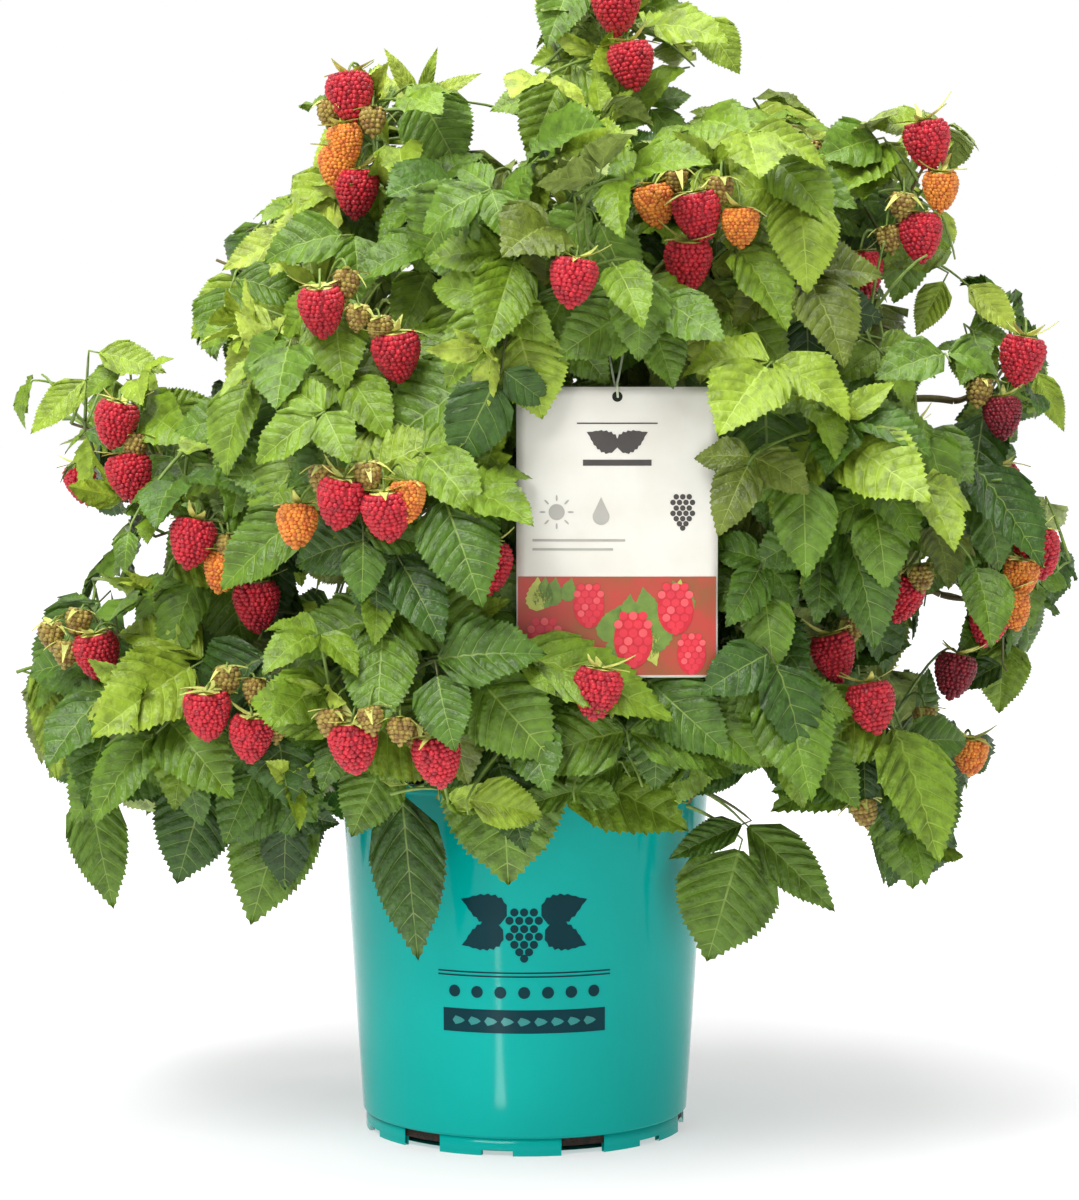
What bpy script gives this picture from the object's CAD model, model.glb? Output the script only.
"""The looks of a raspberry cane in a nursery pot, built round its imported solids.

Metres, +Z up, and the front faces -Y. The crown grows by the source's rule, and on to finer twigs.
"""

import math
import random

import bpy
import numpy as np
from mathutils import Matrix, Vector, noise
from mathutils.bvhtree import BVHTree


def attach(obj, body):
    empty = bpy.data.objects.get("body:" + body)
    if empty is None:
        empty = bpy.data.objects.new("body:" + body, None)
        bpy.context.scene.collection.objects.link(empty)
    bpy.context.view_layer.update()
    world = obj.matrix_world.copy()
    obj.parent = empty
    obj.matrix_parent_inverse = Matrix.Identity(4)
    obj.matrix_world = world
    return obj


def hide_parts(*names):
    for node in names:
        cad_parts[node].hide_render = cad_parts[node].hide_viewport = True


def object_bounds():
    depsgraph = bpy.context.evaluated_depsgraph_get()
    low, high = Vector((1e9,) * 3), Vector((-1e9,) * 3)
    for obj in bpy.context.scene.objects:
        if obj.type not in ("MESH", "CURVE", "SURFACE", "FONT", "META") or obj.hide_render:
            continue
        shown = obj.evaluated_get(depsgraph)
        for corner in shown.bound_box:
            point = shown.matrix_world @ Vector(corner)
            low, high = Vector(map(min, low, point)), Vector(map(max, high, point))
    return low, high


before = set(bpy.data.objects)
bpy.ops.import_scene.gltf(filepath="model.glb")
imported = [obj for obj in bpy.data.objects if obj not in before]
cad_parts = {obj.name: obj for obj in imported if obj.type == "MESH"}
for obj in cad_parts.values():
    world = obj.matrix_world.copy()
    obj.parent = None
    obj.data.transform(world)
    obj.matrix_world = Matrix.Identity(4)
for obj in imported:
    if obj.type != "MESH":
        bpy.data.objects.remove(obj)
CAD_LOW, CAD_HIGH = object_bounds()

UP = Vector((0.0, 0.0, 1.0))
FRONT = Vector((0.0, -1.0, 0.0))
GAP = 0.0003
WHOLE = 2.0 * math.pi

# The source's sizes, repeated
POT_HEIGHT = 0.196
POT_RIM_RADIUS = 0.1005
POT_BASE_RADIUS = 0.0878
POT_WALL = 0.0018
RIM_LIP = 0.0012
RIM_LIP_HEIGHT = 0.005
FOOT_HEIGHT = 0.0105
FOOT_INSET = 0.0009
FOOT_RING = 0.0026
NOTCHES = ((0.0245, 0.0092, math.radians(21.0)), (0.0155, 0.0030, math.radians(-9.5)))
PRINT_LIFT = 0.00015
COMPOST_TOP = 0.184
TAG_WIDTH = 0.100
TAG_HEIGHT = 0.144
TAG_THICKNESS = 0.0008
TAG_HOLE_RADIUS = 0.0026
TAG_HOLE_DROP = 0.0048
TAG_FOLD_HEIGHT = 0.035
TAG_FOLD_LEAN = 0.0035
TAG_TOP_CENTRE = Vector((0.0465, -0.172, 0.4050))
TIE_RADIUS = 0.0006
TIE_SIDES = 5
CANE_ROOT_RADIUS = 0.0036
CANE_TIP_RADIUS = 0.0019
CANE_FLARE = 0.45
CANE_FLARE_HEIGHT = 0.012
CANE_SIDES = 6
CANE_STEPS = 8
CANE_CURVE = ((0.08, 0.45), (0.55, 0.98))
STEM_RADIUS = 0.0018
STEM_SIDES = 3
STEM_STEPS = 3
STEM_TAPER = 0.4
STEM_BEYOND = 0.30
STEM_STRAIGHT = 0.4
STALK_RADIUS = 0.0010
STALK_FOOT = 1.2
LEAFLET_LENGTH = 0.074
LEAFLET_WIDTH = 0.68
LEAFLET_WIDEST = 0.38
LEAFLET_THICKNESS = 0.020
LEAFLET_ARCH = 0.035
SIDE_LEAFLET = 0.84
SIDE_ANGLE = math.radians(80.0)
SIDE_DROOP = 0.22
END_DROOP = 0.14
KNUCKLE = 0.006
END_STALK = 0.15
PARTING = (0.09, 0.05)
LIMB_CLEARANCE = 0.0012
SPACE_SLACK = 0.030
FRUIT_LENGTH = 0.0285
FRUIT_RADIUS = 0.0125
FRUIT_SIDES = 6
FRUIT_TOP = 0.42
STALK_BEND = 0.95
STALK_LEAN = 0.15
FRUIT_RINGS = ((0.22, 0.92), (-0.26, 0.74))
FRUIT_VIEW = 0.055
FRUIT_STALK = 0.035
FRUIT_SHELL = 0.80
BACK_FRUITS = 1
BACK_FRUIT_SPREAD = 0.8
TAG_OVERLAP = 0.016
TAG_ROOM = 0.004
CROWN_HEART = Vector((0.01, 0.02, 0.27))
FRONT_ENDS = 0.03
BACK_BEGINS = 0.09
AIM_SPREAD = 1.35
REACH_LIMIT = 1.45
TRIES = 160
LAST_TRY = 0.55
LENGTHS = (0.86, 1.14)
JOINT_PLACES = (0.45, 0.72)
HEADING_MIX = (0.70, 0.30, 0.35)
FACING_MIX = (0.45, 0.55, 0.75, 0.30)

VIEWER = Vector((0.008, -2.0, 0.43))  # where the photo was taken from

# The crown's outline and the sky that shows through it, as the viewer sees them in the plane of the
# pot's axis: x and z of its corners, clockwise from the top, and x, z and radius of each gap
OUTLINE = (
    (0.013, 0.631), (0.095, 0.631), (0.121, 0.599), (0.119, 0.569), (0.098, 0.563), (0.114, 0.559),
    (0.132, 0.567), (0.174, 0.543), (0.184, 0.547), (0.206, 0.560), (0.239, 0.547), (0.249, 0.523),
    (0.240, 0.487), (0.237, 0.467), (0.271, 0.452), (0.280, 0.425), (0.298, 0.395), (0.290, 0.368),
    (0.297, 0.319), (0.302, 0.290), (0.278, 0.264), (0.276, 0.233), (0.266, 0.210), (0.253, 0.186),
    (0.247, 0.161), (0.233, 0.130), (0.193, 0.126), (0.176, 0.116), (0.141, 0.105), (0.101, 0.085),
    (0.041, 0.122), (-0.011, 0.129), (-0.058, 0.084), (-0.087, 0.124), (-0.106, 0.154),
    (-0.112, 0.129), (-0.153, 0.105), (-0.162, 0.131), (-0.191, 0.126), (-0.226, 0.115),
    (-0.255, 0.151), (-0.260, 0.189), (-0.287, 0.238), (-0.277, 0.267), (-0.255, 0.287),
    (-0.248, 0.311), (-0.217, 0.325), (-0.255, 0.349), (-0.277, 0.384), (-0.275, 0.408),
    (-0.231, 0.426), (-0.193, 0.429), (-0.184, 0.403), (-0.157, 0.410), (-0.186, 0.425),
    (-0.188, 0.444), (-0.159, 0.465), (-0.172, 0.479), (-0.141, 0.512), (-0.114, 0.524),
    (-0.127, 0.547), (-0.102, 0.582), (-0.084, 0.586), (-0.032, 0.574), (-0.025, 0.531),
    (0.003, 0.532), (-0.021, 0.556), (-0.005, 0.582),
)
SKY = (
    (0.220, 0.444, 0.012), (0.224, 0.395, 0.012), (0.228, 0.281, 0.011), (0.225, 0.257, 0.008),
    (-0.203, 0.310, 0.007), (0.235, 0.229, 0.007),
)

# Each cane: angle of its foot from the front, radius of its foot, tip, extra arch
CANES = {
    "cane_top": (80, 0.012, (0.040, 0.004, 0.525), 0.00),
    "cane_front": (35, 0.034, (0.0465, -0.152, 0.436), 0.03),
    "cane_shoulder_left": (-60, 0.034, (-0.060, -0.020, 0.480), 0.00),
    "cane_shoulder_right": (75, 0.040, (0.180, -0.016, 0.465), 0.01),
    "cane_crest_right": (50, 0.038, (0.090, -0.078, 0.450), 0.02),
    "cane_arm_left": (-85, 0.045, (-0.185, -0.004, 0.365), 0.03),
    "cane_low_left": (-95, 0.066, (-0.180, -0.012, 0.255), 0.05),
    "cane_front_left": (-30, 0.055, (-0.060, -0.120, 0.345), 0.03),
    "cane_far_right": (90, 0.056, (0.232, 0.000, 0.395), 0.02),
    "cane_far_right_low": (100, 0.072, (0.226, 0.002, 0.290), 0.04),
    "cane_front_right": (45, 0.062, (0.118, -0.104, 0.345), 0.03),
    "cane_low_right": (72, 0.074, (0.150, -0.050, 0.232), 0.03),
    "cane_back": (175, 0.050, (0.020, 0.150, 0.350), 0.03),
    "cane_back_left": (-135, 0.050, (-0.085, 0.095, 0.400), 0.02),
    "cane_back_right": (130, 0.052, (0.120, 0.100, 0.410), 0.02),
}

# Each mass of leaves: cane, place along it, centre, reach, leaves, droop, seed
MASSES = {
    "leaves_top": ("cane_top", 1.0, (0.050, 0.000, 0.572), 0.085, 9, 0.2, 11),
    "leaves_shoulder_left": ("cane_shoulder_left", 1.0, (-0.072, -0.025, 0.527), 0.075, 6, 0.4, 12),
    "leaves_crest_left": ("cane_shoulder_left", 0.80, (0.005, -0.095, 0.482), 0.085, 5, 0.6, 13),
    "leaves_light_right": ("cane_shoulder_right", 0.80, (0.138, 0.008, 0.530), 0.085, 5, 0.2, 14),
    "leaves_shoulder_right": ("cane_shoulder_right", 1.0, (0.202, -0.022, 0.502), 0.070, 7, 0.5, 15),
    "leaves_upper_left": ("cane_shoulder_left", 0.66, (-0.142, -0.010, 0.462), 0.085, 6, 0.5, 16),
    "leaves_crest_right": ("cane_crest_right", 1.0, (0.098, -0.092, 0.482), 0.080, 5, 0.6, 17),
    "leaves_upper_right": ("cane_far_right", 0.80, (0.172, -0.070, 0.428), 0.080, 5, 0.7, 18),
    "leaves_far_right": ("cane_far_right", 1.0, (0.254, 0.000, 0.412), 0.065, 6, 0.6, 19),
    "leaves_breast_left": ("cane_front_left", 0.80, (-0.092, -0.100, 0.424), 0.085, 6, 0.7, 20),
    "leaves_arm_left": ("cane_arm_left", 1.0, (-0.222, -0.004, 0.376), 0.080, 7, 0.6, 61),
    "leaves_flank_left": ("cane_arm_left", 0.80, (-0.160, -0.065, 0.340), 0.080, 5, 0.7, 22),
    "leaves_front_left": ("cane_front_left", 1.0, (-0.066, -0.148, 0.348), 0.080, 5, 0.8, 23),
    "leaves_front_top": ("cane_front", 1.0, (0.030, -0.150, 0.448), 0.080, 5, 0.9, 24),
    "leaves_heart": ("cane_front", 0.60, (0.020, -0.100, 0.350), 0.085, 5, 0.8, 46),
    "leaves_front_right": ("cane_front_right", 1.0, (0.134, -0.128, 0.358), 0.080, 5, 0.8, 25),
    "leaves_flank_right": ("cane_far_right_low", 0.80, (0.204, -0.058, 0.345), 0.080, 5, 0.8, 26),
    "leaves_far_right_low": ("cane_far_right_low", 1.0, (0.256, 0.000, 0.288), 0.075, 6, 0.9, 27),
    "leaves_low_left_outer": ("cane_low_left", 1.0, (-0.226, -0.004, 0.244), 0.095, 6, 1.1, 28),
    "leaves_low_left": ("cane_low_left", 0.78, (-0.150, -0.072, 0.232), 0.090, 6, 1.1, 29),
    "leaves_front_low_left": ("cane_front_left", 0.55, (-0.060, -0.152, 0.262), 0.080, 5, 0.9, 30),
    "leaves_rim_left": ("cane_front_left", 0.20, (-0.036, -0.128, 0.206), 0.085, 3, 1.4, 31),
    "leaves_rim_front": ("cane_front", 0.45, (0.044, -0.140, 0.236), 0.075, 4, 1.0, 32),
    "leaves_rim_right": ("cane_front_right", 0.50, (0.112, -0.122, 0.254), 0.070, 4, 1.0, 33),
    "leaves_low_right": ("cane_low_right", 1.0, (0.180, -0.070, 0.222), 0.085, 5, 1.1, 34),
    "leaves_skirt_right": ("cane_far_right_low", 0.55, (0.215, -0.010, 0.205), 0.085, 4, 1.2, 35),
    "leaves_hanging_right": ("cane_low_right", 0.60, (0.068, -0.092, 0.160), 0.085, 1, 3.0, 72),
    "leaves_back_top": ("cane_top", 0.72, (0.030, 0.092, 0.490), 0.100, 5, 0.5, 37),
    "leaves_back_upper_left": ("cane_back_left", 1.0, (-0.102, 0.110, 0.425), 0.095, 5, 0.6, 38),
    "leaves_back_upper_right": ("cane_back_right", 1.0, (0.142, 0.112, 0.430), 0.095, 5, 0.6, 39),
    "leaves_back_left": ("cane_back_left", 0.62, (-0.185, 0.095, 0.325), 0.095, 5, 0.8, 40),
    "leaves_back_middle": ("cane_back", 1.0, (0.022, 0.180, 0.365), 0.095, 5, 0.7, 41),
    "leaves_back_right": ("cane_back_right", 0.66, (0.205, 0.110, 0.325), 0.095, 5, 0.8, 42),
    "leaves_back_low_left": ("cane_back_left", 0.36, (-0.125, 0.142, 0.232), 0.095, 4, 1.1, 43),
    "leaves_back_low": ("cane_back", 0.50, (0.026, 0.188, 0.240), 0.095, 4, 1.0, 44),
    "leaves_back_low_right": ("cane_back_right", 0.36, (0.150, 0.150, 0.225), 0.095, 4, 1.1, 45),
}

# Fruit of each mass: x, z, and r ripe, d dark, o orange, s small
FRUITS = {
    "leaves_shoulder_left": ((-0.090, 0.553, "r"), (-0.087, 0.504, "r"), (-0.092, 0.529, "o")),
    "leaves_breast_left": ((-0.100, 0.442, "r"), (-0.063, 0.420, "r")),
    "leaves_upper_left": ((-0.142, 0.393, "s"),),
    "leaves_arm_left": ((-0.214, 0.384, "r"), (-0.207, 0.356, "r")),
    "leaves_front_left": ((-0.089, 0.349, "r"), (-0.066, 0.343, "r"), (-0.111, 0.337, "o")),
    "leaves_flank_left": ((-0.169, 0.325, "r"), (-0.138, 0.291, "r"), (-0.154, 0.310, "o")),
    "leaves_low_left_outer": ((-0.223, 0.263, "r"),),
    "leaves_low_left": ((-0.160, 0.239, "r"), (-0.138, 0.227, "r")),
    "leaves_front_low_left": ((-0.083, 0.229, "r"), (-0.042, 0.222, "r"), (-0.017, 0.315, "r")),
    "leaves_front_top": ((0.024, 0.456, "r"),),
    "leaves_crest_right": (
        (0.087, 0.489, "r"), (0.082, 0.465, "r"), (0.066, 0.495, "o"), (0.108, 0.484, "o"),
    ),
    "leaves_top": ((0.048, 0.600, "r"), (0.056, 0.570, "r")),
    "leaves_shoulder_right": ((0.210, 0.529, "r"), (0.206, 0.481, "r"), (0.178, 0.462, "r")),
    "leaves_far_right": ((0.262, 0.417, "r"), (0.253, 0.387, "d")),
    "leaves_far_right_low": ((0.254, 0.349, "r"), (0.272, 0.315, "r"), (0.258, 0.286, "o")),
    "leaves_flank_right": ((0.195, 0.295, "r"),),
    "leaves_low_right": ((0.159, 0.266, "r"), (0.177, 0.242, "r")),
    "leaves_skirt_right": ((0.227, 0.251, "d"), (0.234, 0.210, "o")),
    "leaves_rim_front": ((0.036, 0.255, "r"),),
}
# Fruit that only this script adds
MORE_FRUITS = {
    "leaves_shoulder_left": ((-0.097, 0.517, "o"), (-0.078, 0.540, "s"), (-0.101, 0.545, "s")),
    "leaves_breast_left": ((-0.082, 0.439, "s"), (-0.071, 0.433, "s"), (-0.088, 0.455, "s")),
    "leaves_flank_left": ((-0.150, 0.322, "s"),),
    "leaves_front_left": ((-0.056, 0.350, "o"), (-0.075, 0.362, "s"), (-0.098, 0.360, "s")),
    "leaves_low_left": ((-0.126, 0.231, "s"), (-0.150, 0.256, "s"), (-0.136, 0.250, "s")),
    "leaves_front_low_left": ((-0.074, 0.243, "s"), (-0.060, 0.238, "s"), (-0.094, 0.240, "s")),
    "leaves_rim_left": ((-0.052, 0.233, "s"),),
    "leaves_low_left_outer": ((-0.248, 0.273, "s"), (-0.240, 0.264, "s"), (-0.234, 0.280, "s")),
    "leaves_far_right_low": ((0.262, 0.303, "o"), (0.245, 0.279, "r"), (0.243, 0.300, "s")),
    "leaves_shoulder_right": ((0.216, 0.505, "o"), (0.196, 0.497, "s"), (0.190, 0.480, "s")),
    "leaves_skirt_right": ((0.210, 0.229, "s"), (0.211, 0.196, "s")),
    "leaves_low_right": ((0.174, 0.187, "s"), (0.168, 0.279, "s")),
    "leaves_light_right": ((0.149, 0.524, "s"), (0.136, 0.532, "s")),
    "leaves_arm_left": ((-0.204, 0.372, "s"),),
    "leaves_crest_right": ((0.076, 0.508, "s"), (0.098, 0.502, "s")),
    "leaves_far_right": ((0.240, 0.400, "s"),),
    "leaves_flank_right": ((0.204, 0.306, "s"), (0.188, 0.309, "s")),
}


# Leaflets that stand out in the photo: x and z of foot and tip in the outline's plane, depth, green,
# width of its length, and how far it looks up
PLACED = (
    (-0.013, 0.205, -0.009, 0.131, -0.128, 3, 0.92, 0.3),
    (0.019, 0.197, 0.091, 0.167, -0.128, 4, 0.72, 0.8),
    (-0.067, 0.179, -0.059, 0.089, -0.116, 1, 0.46, 0.0),
    (-0.076, 0.201, -0.095, 0.158, -0.118, 3, 0.80, 0.2),
    (0.117, 0.150, 0.100, 0.089, -0.070, 3, 0.90, 0.2),
    (0.122, 0.163, 0.171, 0.118, -0.066, 3, 0.46, 0.4),
    (0.118, 0.164, 0.079, 0.148, -0.078, 2, 0.46, 0.6),
    (0.206, 0.207, 0.134, 0.177, -0.070, 3, 0.60, 0.7),
    (0.119, 0.205, 0.088, 0.181, -0.080, 1, 0.62, 0.4),
    (0.090, 0.232, 0.134, 0.198, -0.125, 3, 0.55, 0.5),
    (-0.007, 0.259, 0.084, 0.231, -0.186, 4, 0.52, 1.2),
    (-0.003, 0.431, 0.010, 0.387, -0.180, 5, 0.95, 0.5),
    (-0.019, 0.366, -0.033, 0.323, -0.176, 4, 0.80, 0.3),
    (-0.094, 0.350, -0.048, 0.379, -0.172, 5, 0.85, 0.8),
    (-0.018, 0.410, -0.083, 0.374, -0.160, 3, 0.80, 0.8),
    (0.098, 0.458, 0.146, 0.416, -0.125, 4, 0.70, 0.6),
    (0.130, 0.394, 0.134, 0.325, -0.150, 2, 0.78, 0.3),
    (-0.173, 0.188, -0.191, 0.132, -0.050, 1, 0.78, 0.2),
    (-0.128, 0.184, -0.151, 0.109, -0.060, 3, 0.66, 0.2),
    (-0.238, 0.184, -0.226, 0.118, -0.030, 3, 0.50, 0.2),
    (-0.260, 0.257, -0.256, 0.188, -0.010, 5, 0.34, 0.3),
    (-0.238, 0.406, -0.269, 0.380, -0.020, 5, 0.50, 0.6),
    (-0.230, 0.421, -0.195, 0.414, -0.030, 5, 0.60, 0.8),
    (-0.054, 0.265, -0.011, 0.291, -0.170, 4, 0.55, 1.0),
    (-0.061, 0.265, -0.069, 0.302, -0.165, 3, 0.60, 0.9),
    (0.073, 0.230, 0.071, 0.183, -0.150, 2, 0.80, 0.3),
    (0.260, 0.265, 0.259, 0.226, -0.010, 4, 0.80, 0.2),
    (0.277, 0.410, 0.293, 0.380, -0.010, 5, 0.45, 0.4),
    (0.239, 0.431, 0.249, 0.396, -0.020, 4, 0.75, 0.3),
    (0.240, 0.457, 0.268, 0.434, -0.030, 6, 0.62, 0.9),
    (0.226, 0.459, 0.212, 0.432, -0.030, 5, 0.60, 0.5),
    (0.208, 0.190, 0.213, 0.129, -0.030, 3, 0.80, 0.2),
    (0.191, 0.179, 0.197, 0.131, -0.030, 2, 0.20, 0.2),
    (0.122, 0.551, 0.170, 0.536, 0.000, 6, 0.60, 1.0),
    (0.095, 0.600, 0.116, 0.573, -0.010, 5, 0.70, 0.4),
    (0.019, 0.561, -0.018, 0.555, -0.010, 4, 0.70, 0.8),
    (0.217, 0.544, 0.186, 0.546, -0.040, 5, 0.70, 0.9),
    (-0.142, 0.459, -0.146, 0.421, -0.030, 5, 0.80, 0.3),
    (-0.149, 0.460, -0.181, 0.431, -0.020, 5, 0.70, 0.4),
    (-0.122, 0.485, -0.164, 0.470, -0.020, 6, 0.55, 0.8),
    (-0.058, 0.556, -0.074, 0.584, -0.030, 6, 0.30, 0.4),
    (-0.056, 0.556, -0.048, 0.584, -0.034, 5, 0.26, 0.4),
    (-0.055, 0.555, -0.026, 0.573, -0.032, 6, 0.30, 0.6),
    (-0.057, 0.560, -0.034, 0.520, -0.060, 3, 0.88, 0.3),
)


# More sky that shows between drawn leaves, and the front of the pot that hanging leaves leave bare
GAPS = (
    (-0.217, 0.140, 0.018), (-0.220, 0.158, 0.011), (-0.140, 0.118, 0.010), (-0.161, 0.143, 0.008),
    (-0.105, 0.140, 0.008), (0.163, 0.100, 0.018), (0.190, 0.112, 0.016), (0.177, 0.150, 0.013),
    (0.150, 0.118, 0.009), (0.278, 0.220, 0.015), (0.256, 0.177, 0.015), (0.216, 0.116, 0.009),
    (0.281, 0.370, 0.014), (0.245, 0.478, 0.012), (0.229, 0.440, 0.012), (0.223, 0.268, 0.009),
    (-0.152, 0.507, 0.013), (-0.127, 0.530, 0.013), (-0.222, 0.428, 0.012), (-0.263, 0.365, 0.012),
    (-0.196, 0.437, 0.011), (-0.177, 0.411, 0.010), (-0.250, 0.390, 0.010), (-0.241, 0.318, 0.009),
    (-0.008, 0.589, 0.014), (-0.026, 0.565, 0.009), (0.106, 0.566, 0.009), (0.116, 0.181, 0.009),
    (0.135, 0.170, 0.007), (0.016, 0.241, 0.003), (-0.065, 0.222, 0.003), (-0.100, 0.292, 0.003),
)
BARE_POT = (
    (-0.101, 0.187), (-0.094, 0.187), (-0.087, 0.159), (-0.076, 0.181), (-0.051, 0.181), (-0.043, 0.157),
    (-0.024, 0.151), (-0.008, 0.141), (0.003, 0.151), (0.019, 0.172), (0.090, 0.169), (0.098, 0.181),
    (0.110, 0.181), (0.100, -0.030), (-0.090, -0.030),
)
BARE_RIGHT = (
    (0.101, 0.183), (0.131, 0.195), (0.134, 0.174), (0.186, 0.169), (0.190, 0.176), (0.188, 0.080),
    (0.098, 0.080),
)
SHRINKS = (1.0, 0.87, 0.75, 0.62)  # sizes that a leaflet is tried in where the full one shows too far
LEAST_INSIDE = 0.96  # share of a drawn leaflet that the outline has to hold


# Helpers, most of which the source has too

def bezier(first, second, third, last, steps):
    """Points along a cubic curve."""
    path = []
    for i in range(steps + 1):
        t = i / steps
        s = 1.0 - t
        path.append(first * s**3 + second * 3 * t * s * s + third * 3 * t * t * s + last * t**3)
    return path


def turns(count, shift=0.0):
    """Cosine and sine of even steps round a circle."""
    angles = (WHOLE * (k + shift) / count for k in range(count))
    return [(math.cos(angle), math.sin(angle)) for angle in angles]


def circle(centre, side, across, radii):
    """One point for each radius, round a centre."""
    return [centre + (side * cosine + across * sine) * radius
            for (cosine, sine), radius in zip(turns(len(radii)), radii)]


def bands(rings, sides, first=0):
    """The four-sided faces between rings of points that follow each other."""
    found = []
    for i in range(rings - 1):
        for k in range(sides):
            a, b = first + i * sides + k, first + i * sides + (k + 1) % sides
            found.append((a, b, b + sides, a + sides))
    return found


def tube(path, radii, sides, start_along=None):
    """Points and faces of a closed tube with flat ends. A radius may be a row of one for each side."""
    along = start_along or (path[1] - path[0]).normalized()
    side = along.orthogonal().normalized()
    points = []
    last = len(path) - 1
    for i, (centre, radius) in enumerate(zip(path, radii)):
        if i:
            along = (path[min(i + 1, last)] - path[i - 1]).normalized()
            side = (side - along * side.dot(along)).normalized()
        row = radius if isinstance(radius, list) else [radius] * sides
        points += circle(centre, side, along.cross(side), row)
    faces = [tuple(reversed(range(sides)))] + bands(last + 1, sides)
    faces.append(tuple(range(last * sides, (last + 1) * sides)))
    return points, faces


def leaf_body(root, joint, heading, facing, length, wanted=(True, True, True)):
    """Points and faces of the source's plain leaf: a stalk and a sheet of up to three leaflets."""
    across = heading.cross(facing).normalized()
    thick = facing * (0.5 * LEAFLET_THICKNESS * length)
    knuckle = joint - heading * KNUCKLE
    points = stalk_ring(root, knuckle - root, facing, STALK_RADIUS * STALK_FOOT)
    points += stalk_ring(knuckle, joint - root, facing, STALK_RADIUS)
    centre, right, left, below = 6, 7, 8, 9
    points += [joint + thick, joint + across * STALK_RADIUS, joint - across * STALK_RADIUS, joint - thick]
    ahead, beside = PARTING
    for side in (1, -1):
        points.append(joint + heading * (ahead * length) + across * (side * beside * length))
    faces = [(2, 1, 0), (below, right, left)]
    for low in (0, 3):
        for k in range(3):
            after = (k + 1) % 3
            faces.append((low + k, low + after, low + after + 3, low + k + 3))
    rims = ((right, 10), (10, 11), (11, left))
    for k, turn in enumerate((SIDE_ANGLE, 0.0, -SIDE_ANGLE)):
        before, after = rims[k]
        if not wanted[k]:
            faces += [(centre, before, after), (below, after, before)]
            continue
        axis = heading * math.cos(turn) + across * math.sin(turn)
        beside = across * math.cos(turn) - heading * math.sin(turn)
        base = joint if turn else joint + heading * (END_STALK * length)
        long = length * (SIDE_LEAFLET if turn else 1.0)
        droop = facing * ((SIDE_DROOP if turn else END_DROOP) * long)
        wide = base + (axis * long - droop) * LEAFLET_WIDEST
        half = beside * (0.5 * LEAFLET_WIDTH * long)
        crown = wide + axis * (0.04 * long) + facing * (LEAFLET_ARCH * long)
        first = len(points)
        points += [wide + half, base + axis * long - droop, wide - half, crown + thick, crown - thick]
        rim = [centre, before, first, first + 1, first + 2, after]
        for a, b in zip(rim, rim[1:] + rim[:1]):
            faces.append((first + 3, a, b))
            low = [below if corner == centre else corner for corner in (a, b)]
            faces.append((first + 4, low[1], low[0]))
    return points, faces


def stalk_ring(middle, along, facing, radius):
    along = along.normalized()
    side = (facing - along * facing.dot(along)).normalized()
    return circle(middle, side, along.cross(side), [radius] * 3)


def hanging_fruit(centre, route):
    """Points and faces of the source's plain fruit on its stalk."""
    points, faces = tube(route, [STALK_RADIUS] * len(route), 3)
    faces.pop()
    neck = list(range(len(points) - 3, len(points)))
    side = (points[neck[0]] - route[-1]).normalized()
    side = Vector((side.x, side.y, 0.0)).normalized()
    across = side.cross(UP)
    rings = []
    for height, width in FRUIT_RINGS:
        rings.append(list(range(len(points), len(points) + FRUIT_SIDES)))
        radius = FRUIT_RADIUS * width
        for cosine, sine in turns(FRUIT_SIDES):
            offset = side * (radius * cosine) + across * (radius * sine)
            points.append(centre + offset + UP * (FRUIT_LENGTH * height))
    points.append(centre - UP * (0.50 * FRUIT_LENGTH))
    top, low = rings
    for k in range(FRUIT_SIDES):
        after = (k + 1) % FRUIT_SIDES
        faces.append((top[k], top[after], low[after], low[k]))
        faces.append((low[k], low[after], len(points) - 1))
        corner, following = neck[k // 2], neck[(k // 2 + 1) % 3]
        faces.append((corner, following, top[after], top[k]) if k % 2 else (corner, top[after], top[k]))
    return points, faces


def cane_path(name, steps=CANE_STEPS):
    """A cane's middle line from the compost to its tip."""
    angle, radius, tip, arch = CANES[name]
    turn = math.radians(angle)
    foot = Vector((radius * math.sin(turn), -radius * math.cos(turn), COMPOST_TOP + GAP))
    tip = Vector(tip)
    rise = tip.z - foot.z
    out = Vector((tip.x - foot.x, tip.y - foot.y, 0.0))
    (low_out, low_rise), (high_out, high_rise) = CANE_CURVE
    second = foot + out * low_out + UP * (rise * low_rise + arch)
    third = foot + out * high_out + UP * (rise * high_rise + arch)
    return bezier(foot, second, third, tip, steps)


def cane_radius(place):
    return CANE_ROOT_RADIUS + (CANE_TIP_RADIUS - CANE_ROOT_RADIUS) * place


def along_cane(name, place):
    """The point at a share of a cane's length, and the cane's way there."""
    path = cane_path(name)
    spot = place * CANE_STEPS
    i = min(int(spot), CANE_STEPS - 1)
    share = spot - i
    return path[i].lerp(path[i + 1], share), (path[i + 1] - path[i]).normalized()


def stem_path(name, steps=STEM_STEPS):
    """A mass's stem, from its cane to beyond its centre, and the way it leaves."""
    cane, place, centre, reach = MASSES[name][:4]
    centre = Vector(centre)
    point, along = along_cane(cane, place)
    if place == 1.0:
        start = point + along * GAP
        leave = along
    else:
        away = centre - point
        leave = (away - along * away.dot(along)).normalized()
        start = point + leave * (cane_radius(place) + GAP)
    length = (centre - start).length
    end = centre + (centre - start).normalized() * (STEM_BEYOND * reach)
    second = start + leave * (STEM_STRAIGHT * length)
    return bezier(start, second, centre.lerp(start, 0.2), end, steps), leave


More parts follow.
